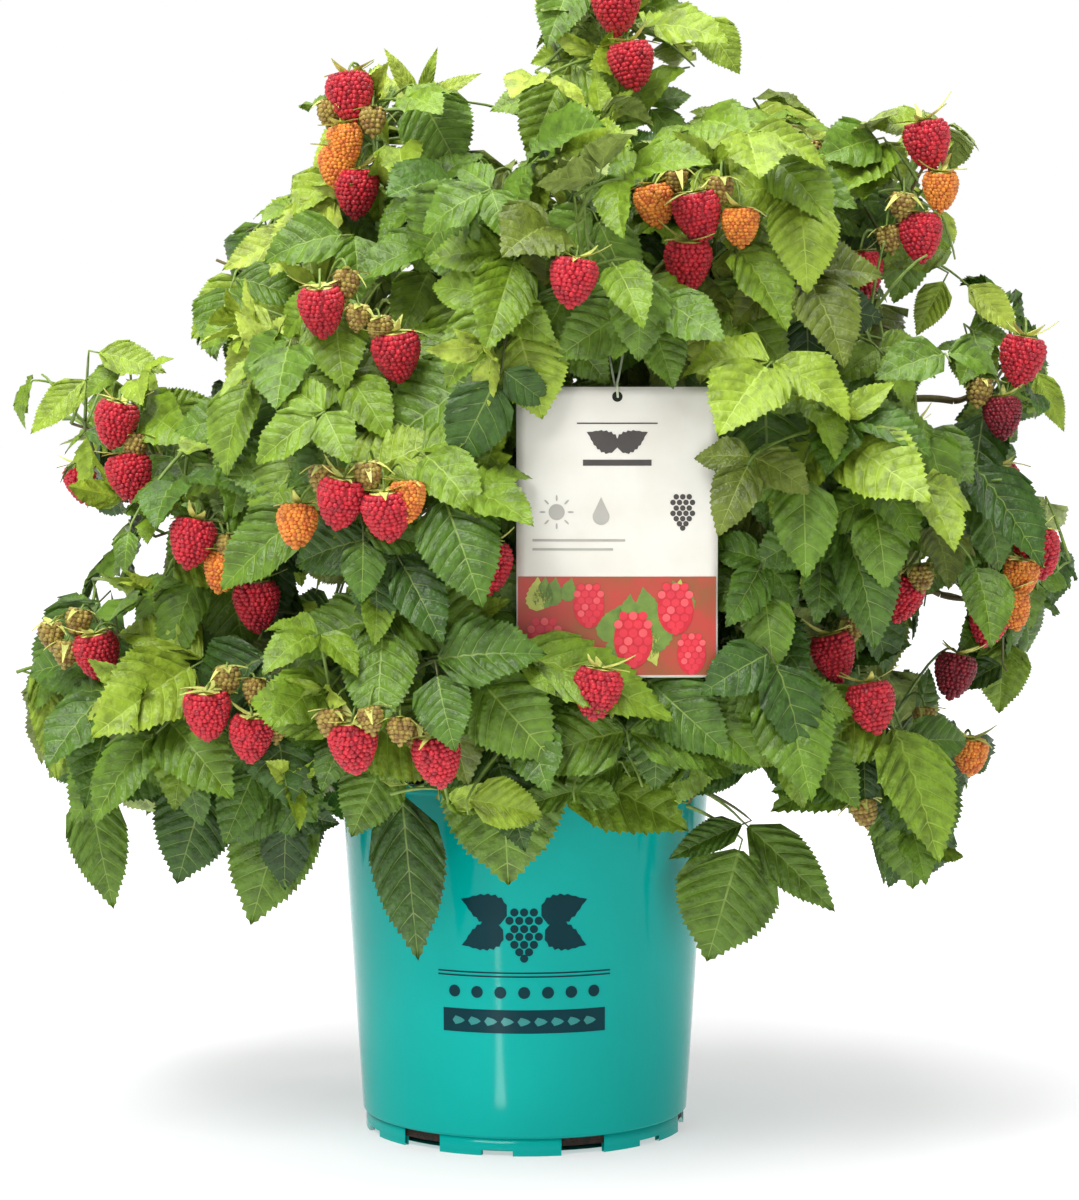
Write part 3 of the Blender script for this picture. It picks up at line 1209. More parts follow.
def green_of(joint, facing, chance, inner):
    """Which green a leaf gets: bright above and outside, deep below, inside and to the right."""
    tone = TONE["low"] + TONE["high"] * (joint.z - 0.20) / 0.40
    tone += TONE["up"] * facing.z - TONE["inside"] * inner
    tone -= TONE["right"] if joint.x > 0.08 and joint.z < 0.46 else 0.0
    tone += TONE["left"] if joint.x < -0.12 else 0.0
    tone += chance.gauss(0.0, TONE["chance"])
    turned_away = facing.z < -0.25 or (joint.y < 0.10 and facing.dot(FRONT) < -0.1)
    if turned_away and chance.random() < PALE_SHARE:
        return len(GREENS)
    if chance.random() < OLIVE_SHARE:
        return len(GREENS) + 1
    return int(min(len(GREENS) - 1, max(0, round(tone))))


def lay_leaf(heap, twigs, template, place, wanted, chance, inner):
    """A leaf's wanted leaflets, each in the largest size that may show, and its stalk if any does."""
    root, joint, heading, facing, length = place
    across = heading.cross(facing).normalized()
    green = green_of(joint, facing, chance, inner)
    to_front = TO_FRONT if joint.y < 0.05 else 0.0
    shown = False
    foot = joint + heading * (END_STALK * length)
    for shows, turn in zip(wanted, (SIDE_ANGLE, 0.0, -SIDE_ANGLE)):
        if not shows:
            continue
        axis = heading * math.cos(turn) + across * math.sin(turn)
        base = joint + axis * (0.03 * length) if turn else foot
        long = length * (SIDE_LEAFLET if turn else 1.0)
        droop = (SIDE_DROOP if turn else END_DROOP) + chance.uniform(-0.06, 0.34)
        form = [chance.uniform(*ends) for ends in ((0.90, 1.14), (0.05, 0.50), (0.015, 0.055))]
        form = (form[0], droop, *form[1:], chance.random())
        tilt = (facing + FRONT * to_front + across * chance.uniform(-0.2, 0.2)).normalized()
        tilt = (tilt - axis * tilt.dot(axis)).normalized()
        for shrink in SHRINKS:
            points = lay_leaflet(template, base, axis, tilt, long * 1.04 * shrink, form)
            if may_show(points):
                heap.add(points, template[1], 2 * green + template[2])
                shown = True
                break
    if shown:
        add_stalk(twigs, root, joint, foot, green)


def add_stalk(twigs, root, joint, foot, green):
    """A leaf's stalk: an arch from the stem to its joint, and on to the foot of its end leaflet."""
    reach = (joint - root).length
    arch = (root + (joint - root) * 0.5) + UP * (0.10 * reach)
    path = bezier(root, root.lerp(arch, 0.7), arch.lerp(joint, 0.5) + UP * (0.03 * reach), joint, 6)
    path.append(foot)
    radii = [0.0011 - 0.0006 * i / 7 for i in range(len(path))]
    twigs.add_tube(path, radii, 5, 1 if green > 2 else 2)


def lay_placed(heap, twigs, template, row, chance):
    """A placed leaflet and its stalk."""
    root, foot, heading, facing, length, green, width = row
    form = (width / LEAFLET_WIDTH, 0.16, chance.uniform(0.1, 0.3), 0.02, chance.random())
    points = lay_leaflet(template, foot, heading, facing, 1.03 * length, form)
    heap.add(points, template[1], 2 * green + template[2])
    add_stalk(twigs, root, foot - heading * 0.006, foot, green)


def add_shoot(crown, heap, twigs, template, tip, along, chance):
    """Three or four young leaves folded up round a growing tip, if there is room in front of it."""
    around = [tip + random_direction(chance) * 0.03 for _ in range(8)]
    from_tag = tip - TAG_TOP_CENTRE
    beside_tag = abs(from_tag.x) < 0.6 * TAG_WIDTH and abs(from_tag.y) < 0.04
    if in_open_view(around, crown.open_views) or not in_outline(around) or beside_tag:
        return
    for k in range(chance.choice((3, 4))):
        turn = 2.4 * k + chance.random()
        side = along.orthogonal().normalized()
        side = side * math.cos(turn) + along.cross(side) * math.sin(turn)
        axis = (along * chance.uniform(0.5, 1.0) + side * chance.uniform(0.4, 0.9) + UP * 0.4).normalized()
        facing = (along - side * 0.8 + UP * 0.3)
        facing = (facing - axis * facing.dot(axis)).normalized()
        length = chance.uniform(0.020, 0.036)
        form = (0.8, chance.uniform(0.05, 0.35), chance.uniform(0.4, 0.8), 0.03, chance.random())
        base = tip + axis * 0.004
        green = len(GREENS) - 1 - chance.randrange(0, 2)
        points = lay_leaflet(template, base, axis, facing, length, form)
        if may_show(points):
            heap.add(points, template[1], 2 * green + template[2])
            twigs.add_tube([tip, base], [0.0007, 0.0005], 4, 1)


# Fruit

# Size and the two skins of each kind, and the length of its sepals and how far they rise
FRUIT_KINDS = {"r": (0.94, (0, 1)), "d": (0.88, (2, 3)), "o": (0.78, (4, 5)), "s": (0.52, (6, 7))}
SEPALS = {"r": (0.0155, 0.15), "d": (0.0135, 0.2), "o": (0.0140, 0.0), "s": (0.0120, -0.5)}
SEPAL_FINISH = 8
FRUIT_WIDTHS = (0.66, 0.90, 1.0, 0.90, 0.66, 0.36, 0.0)  # of its radius, from top to tip


def fruit_materials():
    """The skins of the kinds in turn, and the sepals' finish."""
    skins = [
        srgb(194, 26, 44), srgb(166, 18, 38), srgb(134, 16, 34), srgb(112, 12, 30),
        srgb(226, 140, 48), srgb(204, 106, 40), srgb(160, 138, 62), srgb(136, 104, 48),
    ]
    found = []
    for i, skin in enumerate(skins):
        found.append(material(
            f"fruit_{i}", skin, 0.40, (tinted(skin, 0.66), 260.0, 0.42, 0.70), (1500.0, 0.35, 0.0004),
            Specular_IOR_Level=0.45, Sheen_Weight=0.12, Sheen_Roughness=0.4))
    found.append(material("sepal", srgb(206, 208, 112), 0.55, (srgb(150, 160, 70), 150.0, 0.4, 0.8)))
    return found


def fruit_template(seed, dome, rows):
    """Domes of a given radius over a tapered core, in metres, upright.

    Each triangle is marked 0 or 1 for the kind's two skins, or 2 for the green top.
    """
    chance = random.Random(seed)
    sides, core_sides, core_rings = 5, 12, 8
    points, triangles, marks = [], [], []

    def radius_at(v):
        return float(np.interp(v, (0.0, 0.10, 0.26, 0.50, 0.75, 0.92, 1.0), FRUIT_WIDTHS)) * FRUIT_RADIUS

    def height_at(v):
        return FRUIT_LENGTH * (0.46 - 0.96 * v)

    def add_dome(centre, out, size):
        side = out.orthogonal().normalized()
        across = out.cross(side)
        first = len(points)
        for shift, width, lift in ((0.0, 1.0, -0.25), (0.5, 0.76, 0.52)):
            for cosine, sine in turns(sides, shift):
                points.append(centre + (side * cosine + across * sine) * (width * size) + out * (lift * size))
        points.append(centre + out * (0.90 * size))
        for a, b, d, c in bands(2, sides, first):
            triangles.extend([(a, b, c), (b, d, c), (c, d, first + 2 * sides)])
        marks.extend([0 if chance.random() < 0.7 else 1] * (3 * sides))

    for row in range(rows):
        v = 0.06 + 0.90 * row / (rows - 1)
        r = max(0.0, radius_at(v) - 0.45 * dome)
        slope = (radius_at(min(1.0, v + 0.05)) - radius_at(v - 0.05)) / (0.1 * FRUIT_LENGTH)
        count = max(1, int(round(WHOLE * r / (1.80 * dome))))
        for k in range(count):
            turn = WHOLE * (k + 0.5 * (row % 2)) / count + chance.uniform(-0.08, 0.08)
            flat = Vector((math.cos(turn), math.sin(turn), 0.0))
            out = (flat + UP * slope * 0.9).normalized()
            height = height_at(v) + chance.uniform(-0.0003, 0.0003)
            add_dome(flat * r + UP * height, out, dome * chance.uniform(0.92, 1.14))
    add_dome(UP * (-0.48 * FRUIT_LENGTH), -UP, dome)
    first = len(points)
    for v in np.linspace(0.0, 0.97, core_rings):
        r = max(0.0004, radius_at(v) - 0.55 * dome)
        points += [Vector((r * cosine, r * sine, height_at(v))) for cosine, sine in turns(core_sides)]
    for a, b, d, c in bands(core_rings, core_sides, first):
        triangles += [(b, a, c), (b, c, d)]
        marks += [1, 1]
    triangles += [(first + k, first + (k + 1) % core_sides, len(points)) for k in range(core_sides)]
    marks += [2] * core_sides
    points.append(UP * (0.47 * FRUIT_LENGTH))
    return np.array([tuple(p) for p in points]), np.array(triangles), np.array(marks)


def lay_fruit(heap, twigs, templates, centre, kind, root, chance):
    """One fruit with its sepals and its stalk."""
    size, skins = FRUIT_KINDS[kind]
    choice = templates["small" if kind == "s" else "full"]
    points, triangles, marks = choice[chance.randrange(len(choice))]
    lean = (UP + random_direction(chance) * 0.22).normalized()
    side = lean.orthogonal().normalized()
    turn = chance.uniform(0.0, WHOLE)
    side = side * math.cos(turn) + lean.cross(side) * math.sin(turn)
    across = lean.cross(side)
    grow = size * chance.uniform(0.93, 1.05)
    wide = grow * chance.uniform(0.97, 1.06)
    basis = np.array((side * wide, across * wide, lean * grow))
    heap.add(np.array(centre) + points @ basis, triangles, np.array((*skins, SEPAL_FINISH))[marks])
    top = centre + lean * (0.46 * FRUIT_LENGTH * grow)
    add_sepals(heap, top, lean, side, across, kind, chance)
    over = top + UP * 0.014 + (root - centre) * STALK_LEAN
    path = bezier(root, root.lerp(over, 0.6) + UP * 0.006, over, top, 7)
    twigs.add_tube(path, [0.0009 - 0.0003 * i / 7 for i in range(8)], 5, 1)


def add_sepals(heap, top, lean, side, across, kind, chance):
    """Five long pointed sepals, spread over a ripe fruit and up round a young one."""
    length, rise = SEPALS[kind]
    for k in range(5):
        turn = WHOLE * (k + chance.uniform(-0.2, 0.2)) / 5
        out = side * math.cos(turn) + across * math.sin(turn)
        beside = lean.cross(out)
        lift = rise + chance.uniform(-0.35, 0.55)
        curl = chance.uniform(-0.25, 0.25)
        long = length * chance.uniform(0.8, 1.2)
        points = []
        for i, width in enumerate((0.0017, 0.0024, 0.0019, 0.0011, 0.0003)):
            f = i / 4
            spot = top + out * (long * f) + lean * (long * (lift * f * f + 0.16 * f * (1.0 - f)))
            spot += beside * (curl * long * f * f)
            rim = lean * 0.0005
            points += [spot + beside * width + rim, spot, spot - beside * width + rim]
        triangles = []
        for i in range(4):
            for j in (0, 1):
                a = 3 * i + j
                triangles += [(a, a + 1, a + 4), (a, a + 4, a + 3)]
        heap.add([tuple(p) for p in points], triangles, SEPAL_FINISH)


NEAR_LIMB = 0.012
LARGE_LEAF = 0.048  # leaflets longer than this get the template with more veins


def near(point, limbs):
    """True if a leaf or twig that starts at a point has a limb to start from."""
    return any((point - other).length < NEAR_LIMB for other in limbs)


def build_crown():
    """Grows the crown and draws its leaves, twigs and fruit, each kind in its own pieces."""
    crown = Crown()
    crown.add_limbs()
    crown.add_source()
    crown.add_placed()
    crown.add_fine()
    large, usual = leaflet_template(7, 3, True), leaflet_template(5, 2, True)
    young = leaflet_template(4, 2, False)
    fruits = {
        "full": [fruit_template(seed, 0.00165, 12) for seed in range(3)],
        "small": [fruit_template(seed, 0.0028, 7) for seed in range(2)],
    }
    leaf_finishes = leaf_materials()
    fruit_finishes = fruit_materials()
    leaves, twigs, laid_fruit = Heap(), Heap(), [Heap()]
    held, number = [], 1
    for name in MASSES:
        chance = random.Random(MASSES[name][6] + DRAWN_DRAWS)
        centre = Vector(MASSES[name][2])
        stem = shortened(stem_path(name, 14)[0])
        kept = [shortened(twig) for twig in crown.twigs[name]]
        kept = [twig for twig in kept if len(twig) > 2 and near(twig[0], stem)]
        limbs = stem + [point for twig in kept for point in twig]
        for place, wanted in crown.leaves[name]:
            if not near(place[0], limbs):
                continue
            far_out = (place[1] - CROWN_HEART).length / max(0.05, (centre - CROWN_HEART).length)
            inner = 3.0 * (1.0 - min(1.0, far_out))
            lay_leaf(leaves, twigs, large if place[4] > LARGE_LEAF else usual, place, wanted, chance, inner)
        for row in crown.placed[name]:
            lay_placed(leaves, twigs, large, row, chance)
        for centre_of_fruit, kind, root in crown.fruits[name]:
            lay_fruit(laid_fruit[-1], twigs, fruits, centre_of_fruit, kind, root, chance)
        if laid_fruit[-1].size > FRUIT_PIECE_TRIANGLES:
            laid_fruit.append(Heap())
        twigs.add_tube(stem, [STEM_RADIUS * (1.0 - 0.55 * i / 14) for i in range(len(stem))], 7, 0)
        add_shoot(crown, leaves, twigs, young, stem[-1], (stem[-1] - stem[-2]).normalized(), chance)
        for twig in kept:
            radii = [TWIG_RADIUS - 0.5 * TWIG_RADIUS * i / TWIG_STEPS for i in range(len(twig))]
            twigs.add_tube(twig, radii, 5, 1)
            add_shoot(crown, leaves, twigs, young, twig[-1], (twig[-1] - twig[-2]).normalized(), chance)
        held.append(name)
        if leaves.size > LEAF_PIECE_TRIANGLES or name == list(MASSES)[-1]:
            leaves.piece(f"leaves_{number}", "foliage", leaf_finishes, held)
            leaves, held, number = Heap(), [], number + 1
    brown, bark = srgb(84, 62, 40), (700.0, 0.4, 0.0005)
    twig_finishes = [
        material("twig_brown", srgb(104, 92, 52), 0.6, (brown, 240.0, 0.4, 0.7), bark),
        material("twig_green", srgb(126, 152, 66), 0.55, (srgb(100, 122, 54), 200.0, 0.4, 0.7)),
        material("twig_dark", srgb(84, 104, 50), 0.55, (srgb(92, 78, 46), 200.0, 0.4, 0.7)),
    ]
    twigs.piece("twigs", "cane", twig_finishes)
    for i, fruit in enumerate(laid_fruit):
        fruit.piece(f"fruit_{i + 1}", "foliage", fruit_finishes)


# Canes, compost, pot and card

def build_canes():
    """The canes with their flare, their ridges and the swellings at their joints."""
    heap = Heap()
    steps, sides = 60, 14
    for name in CANES:
        chance = random.Random(name)
        path = cane_path(name, steps)
        joints = sorted(chance.uniform(0.05, 0.95) for _ in range(8))
        rows = []
        for i, spot in enumerate(path):
            low = max(0.0, 1.0 - (spot.z - path[0].z) / CANE_FLARE_HEIGHT)
            base = cane_radius(i / steps) * (1.0 + CANE_FLARE * low)
            swell = sum(math.exp(-((i / steps - joint) / 0.012) ** 2) for joint in joints)
            rows.append([])
            for k in range(sides):
                grain = Vector((k * 1.3, i * 0.35, chance.random() * 0.2)) + Vector(path[0]) * 90.0
                ridge = 0.05 * math.sin(5.0 * (WHOLE * k / sides) + 0.12 * i)
                rows[-1].append(base * (0.97 + 0.06 * noise.noise(grain) + ridge + 0.16 * swell))
        heap.add_tube(path, rows, sides, 0, UP)
    bark = material(
        "bark", srgb(92, 74, 44), 0.7, (srgb(112, 110, 58), 60.0, 0.35, 0.7), (500.0, 0.6, 0.0008))
    heap.piece("bark_canes", "cane", [bark], CANES)


def build_compost():
    """A lumpy top for the compost, strewn with crumbs and chips."""
    heap = Heap()
    chance = random.Random(5)
    rings, sectors = 34, 90
    radius = wall_radius(COMPOST_TOP) - POT_WALL - 0.0012
    points = [(0.0, 0.0, COMPOST_TOP + 0.003)]
    for i in range(1, rings + 1):
        for cosine, sine in turns(sectors):
            x, y = radius * i / rings * cosine, radius * i / rings * sine
            lump = noise.noise(Vector((x * 70, y * 70, 0))) * 0.0022
            lump += noise.noise(Vector((x * 260, y * 260, 3))) * 0.0016
            points.append((x, y, COMPOST_TOP + 0.0004 + (0.0026 + lump if i < rings else 0.0)))
    triangles = [(0, 1 + k, 1 + (k + 1) % sectors) for k in range(sectors)]
    for a, b, c, d in bands(rings, sectors, 1):
        triangles += [(a, d, c), (a, c, b)]
    heap.add(points, triangles, 0)
    for _ in range(900):
        r, turn = radius * 0.95 * math.sqrt(chance.random()), chance.uniform(0, WHOLE)
        spot = Vector((r * math.cos(turn), r * math.sin(turn), COMPOST_TOP + 0.003))
        along = random_direction(chance)
        along.z *= 0.4
        along.normalize()
        size = chance.uniform(0.0012, 0.0045)
        path = [spot - along * size, spot, spot + along * size]
        heap.add_tube(path, [0.25 * size, 0.5 * size, 0.2 * size], 4, chance.choice((0, 1, 1, 2)))
    finishes = [
        material("peat", srgb(46, 32, 24), 0.95, (srgb(24, 16, 12), 300.0, 0.4, 0.7), (800.0, 0.8, 0.001)),
        material("bark_chip", srgb(84, 58, 38), 0.9, (srgb(56, 38, 26), 400.0, 0.4, 0.7)),
        material("fibre", srgb(120, 92, 62), 0.9, (srgb(84, 60, 40), 400.0, 0.4, 0.7)),
    ]
    heap.piece("compost_surface", "compost", finishes)
    set_material("compost", finishes[0])


def set_material(node, finish):
    """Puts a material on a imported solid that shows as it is."""
    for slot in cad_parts[node].material_slots:
        slot.material = finish


def wall_radius(height):
    return POT_BASE_RADIUS + (POT_RIM_RADIUS - POT_BASE_RADIUS) * height / POT_HEIGHT


def in_notch(turn, height):
    """True where a drainage notch opens the foot, at an angle from the front."""
    pitch = math.pi / 3.0
    for width, top, first in NOTCHES:
        apart = (turn - first) % pitch
        if height < top and min(apart, pitch - apart) * POT_BASE_RADIUS < 0.5 * width:
            return True
    return False


def build_pot():
    """The pot as a finer skin: the outer wall with its step, lip and notches, and the wall inside."""
    sectors = 360
    soft = 0.0004  # how far an edge is broken
    levels = sorted(top for _, top, _ in NOTCHES)
    foot, ring = POT_BASE_RADIUS - FOOT_INSET, POT_BASE_RADIUS - FOOT_INSET - FOOT_RING
    step, lip = FOOT_HEIGHT - FOOT_INSET, POT_HEIGHT - RIM_LIP_HEIGHT
    outer = [(foot, height) for height in (0.0, *levels, step - soft)] + [(foot + 0.0003, step)]
    for height in (FOOT_HEIGHT, FOOT_HEIGHT + soft, *np.linspace(0.02, lip - 0.0006, 14), lip):
        outer.append((wall_radius(height), height))
    outer += [
        (wall_radius(lip) + 0.8 * RIM_LIP, lip + 0.6 * RIM_LIP),
        (wall_radius(lip) + RIM_LIP, lip + 1.4 * RIM_LIP),
        (POT_RIM_RADIUS + RIM_LIP, POT_HEIGHT - 0.0006), (POT_RIM_RADIUS + 0.7 * RIM_LIP, POT_HEIGHT),
        (POT_RIM_RADIUS - POT_WALL + soft, POT_HEIGHT), (POT_RIM_RADIUS - POT_WALL, POT_HEIGHT - soft),
        (wall_radius(0.17) - POT_WALL, 0.17),
    ]
    inner = [(ring, height) for height in (0.0, *levels, 0.010)]
    heap = Heap()
    for profile in (outer, inner):
        points = []
        for radius, height in profile:
            points += [(radius * sine, -radius * cosine, height) for cosine, sine in turns(sectors)]
        triangles = []
        for i, (a, b, c, d) in enumerate(bands(len(profile), sectors)):
            row, k = divmod(i, sectors)
            middle = 0.5 * (profile[row][1] + profile[row + 1][1])
            if not in_notch(WHOLE * (k + 0.5) / sectors, middle):
                triangles += [(a, b, c), (a, c, d)] if profile is outer else [(c, b, a), (d, c, a)]
        heap.add(points, triangles, 0)
    around = turns(sectors)
    for k in range(sectors):
        middle = WHOLE * (k + 0.5) / sectors
        ceiling = max([0.0] + [level for level in levels if in_notch(middle, level - 0.001)])
        ends = (around[k], around[(k + 1) % sectors])
        corners = [(r * sine, -r * cosine, ceiling) for cosine, sine in ends for r in (foot, ring)]
        heap.add(corners, [(0, 1, 3), (0, 3, 2)], 0)
    sides, floor = 60, 0.0022
    disc = [(0.0, 0.0, floor)] + [(ring * cosine, ring * sine, floor) for cosine, sine in turns(sides)]
    heap.add(disc, [(0, 1 + (k + 1) % sides, 1 + k) for k in range(sides)], 0)
    teal = material(
        "pot_teal", srgb(0, 164, 156), 0.12, (srgb(0, 152, 144), 9.0, 0.3, 0.8), (350.0, 0.03, 0.0002),
        Specular_IOR_Level=0.12)
    heap.piece("pot_skin", "pot", [teal], ["pot"])
    wire = material("wire", srgb(190, 200, 170), 0.4, (srgb(150, 160, 130), 300.0, 0.4, 0.8))
    set_material("tag_tie", wire)


def leaned(corners, x, y, lean):
    """Corners turned by an angle and moved to a place."""
    cosine, sine = math.cos(lean), math.sin(lean)
    return [(x + a * cosine - b * sine, y + a * sine + b * cosine) for a, b in corners]


def oval(x, y, wide, high, lean=0.0, count=20):
    """Corners of an oval, leaning by an angle."""
    return leaned([(wide * cosine, high * sine) for cosine, sine in turns(count)], x, y, lean)


def leaf_outline(x, y, long, lean, teeth=7):
    """Corners of a toothed leaf that starts at a point and leans by an angle."""
    side = []
    for k in range(2 * teeth + 1):
        t = k / (2 * teeth)
        side.append((t * long, float(half_width(t)) * long * (1.0 if k % 2 else 0.86)))
    return leaned(side + [(a, -b) for a, b in reversed(side[1:-1])], x, y, lean)


def add_print(heap, shape, place, finish, layer=1):
    """A flat printed shape, laid by place() from its own x and y. It fans out from its middle."""
    middle = np.mean(shape, axis=0)
    count, rings = len(shape), 3
    points = [place(*middle, layer)]
    for ring in range(1, rings + 1):
        points += [place(*(middle + (np.array(corner) - middle) * ring / rings), layer) for corner in shape]
    triangles = [(0, 1 + k, 1 + (k + 1) % count) for k in range(count)]
    for a, b, c, d in bands(rings, count, 1):
        triangles += [(a, d, c), (a, c, b)]
    heap.add(points, triangles, finish)


def add_bar(heap, x, y, wide, high, place, finish):
    """A printed bar, in cells small enough to follow what it lies on."""
    cell = 0.004
    across, up = max(1, int(wide / cell)), max(1, int(high / cell))
    points = []
    for k in range(across + 1):
        for i in range(up + 1):
            points.append(place(x + wide * (k / across - 0.5), y + high * (i / up - 0.5), 1))
    triangles = []
    for k in range(across):
        for a in range(k * (up + 1), k * (up + 1) + up):
            triangles += [(a, a + up + 1, a + up + 2), (a, a + up + 2, a + 1)]
    heap.add(points, triangles, finish)


def add_berry(heap, x, y, size, place, finishes, layer=1):
    """A berry drawn as rows of round drops that narrow to its tip."""
    rows = ((3, 0.9), (4, 0.45), (3, 0.0), (4, -0.42), (3, -0.85), (2, -1.25), (1, -1.6))
    for row, (count, height) in enumerate(rows):
        for k in range(count):
            across = (k - 0.5 * (count - 1)) * 0.52 * size
            drop = oval(x + across, y + height * size, 0.225 * size, 0.225 * size, count=12)
            add_print(heap, drop, place, finishes[(k + row) % len(finishes)], layer)


def printed(*rows):
    """Materials of printed colours: name, colour, its second colour and how fine that is, roughness, and
    from and to which noise the one turns into the other."""
    return [material(name, srgb(*colour), roughness, (srgb(*other), scale, *(ends or (0.3, 0.8))))
            for name, colour, other, scale, roughness, *ends in rows]


def build_pot_print():
    """A plain motif on the pot's front: a berry with leaves between thin rules."""

    def on_wall(x, z, layer):
        radius = wall_radius(z) + PRINT_LIFT * layer
        turn = x / radius
        return (radius * math.sin(turn), -radius * math.cos(turn), z)

    heap = Heap()
    for side in (-1, 1):
        add_print(heap, leaf_outline(0.009 * side, 0.1290, 0.026, math.pi / 2 - side * 1.25), on_wall, 0)
        add_print(heap, leaf_outline(0.011 * side, 0.1215, 0.024, math.pi / 2 - side * 1.95), on_wall, 0)
    add_berry(heap, 0.0, 0.1220, 0.0098, on_wall, (0,))
    for z in (0.0985, 0.0965):
        add_bar(heap, 0.0, z, 0.094, 0.0008, on_wall, 0)
    for k in range(-3, 4):
        add_print(heap, oval(0.0125 * k, 0.0880, 0.0032, 0.0032), on_wall, 0)
    add_bar(heap, 0.0, 0.0725, 0.088, 0.0125, on_wall, 0)
    for k in range(-4, 5):
        add_print(heap, leaf_outline(0.0088 * k - 0.0035, 0.0725, 0.0070, 0.0, 2), on_wall, 1, 2)
    finishes = printed(
        ("pot_ink", (0, 52, 60), (0, 44, 52), 60.0, 0.3),
        ("pot_ink_faint", (0, 128, 124), (0, 116, 112), 60.0, 0.3))
    finishes[0].node_tree.nodes["Principled BSDF"].inputs["Specular IOR Level"].default_value = 0.1
    heap.piece("pot_print", "pot", finishes)


def build_tag():
    """The card, a little bowed and folded forward along its foot, with its print."""
    heap = Heap()
    columns, rows = 20, 30

    def on_card(x, drop, lift):
        s = x / (0.5 * TAG_WIDTH)
        past = max(0.0, drop - (TAG_HEIGHT - TAG_FOLD_HEIGHT)) / TAG_FOLD_HEIGHT
        bow = 0.0006 - 0.0012 * (1.0 - s * s)
        return tuple(TAG_TOP_CENTRE + Vector((x, lift + bow - TAG_FOLD_LEAN * past, -drop)))

    points = []
    for lift in (0.0, TAG_THICKNESS):
        for i in range(rows + 1):
            for j in range(columns + 1):
                points.append(on_card(TAG_WIDTH * (j / columns - 0.5), TAG_HEIGHT * i / rows, lift))
    step = columns + 1
    layer = step * (rows + 1)
    faces = []
    for i in range(rows):
        for a in range(i * step, i * step + columns):
            faces.append((a, a + step, a + step + 1, a + 1))
            faces.append((layer + a, layer + a + 1, layer + a + step + 1, layer + a + step))
        left, right = i * step, i * step + columns
        faces.append((left, layer + left, layer + left + step, left + step))
        faces.append((right + step, layer + right + step, layer + right, right))
    for j in range(columns):
        below = rows * step + j
        faces.append((j, j + 1, layer + j + 1, layer + j))
        faces.append((below + 1, below, layer + below, layer + below + 1))
    heap.add(points, triangulated(faces), 0)
    card = material(
        "card", srgb(217, 215, 206), 0.42, (srgb(210, 207, 196), 40.0, 0.4, 0.7), (1200.0, 0.05, 0.0002))
    heap.piece("card", "tag", [card], ["hang_tag"])
    build_tag_print(lambda x, z, layer: on_card(x, -z, -PRINT_LIFT * layer))


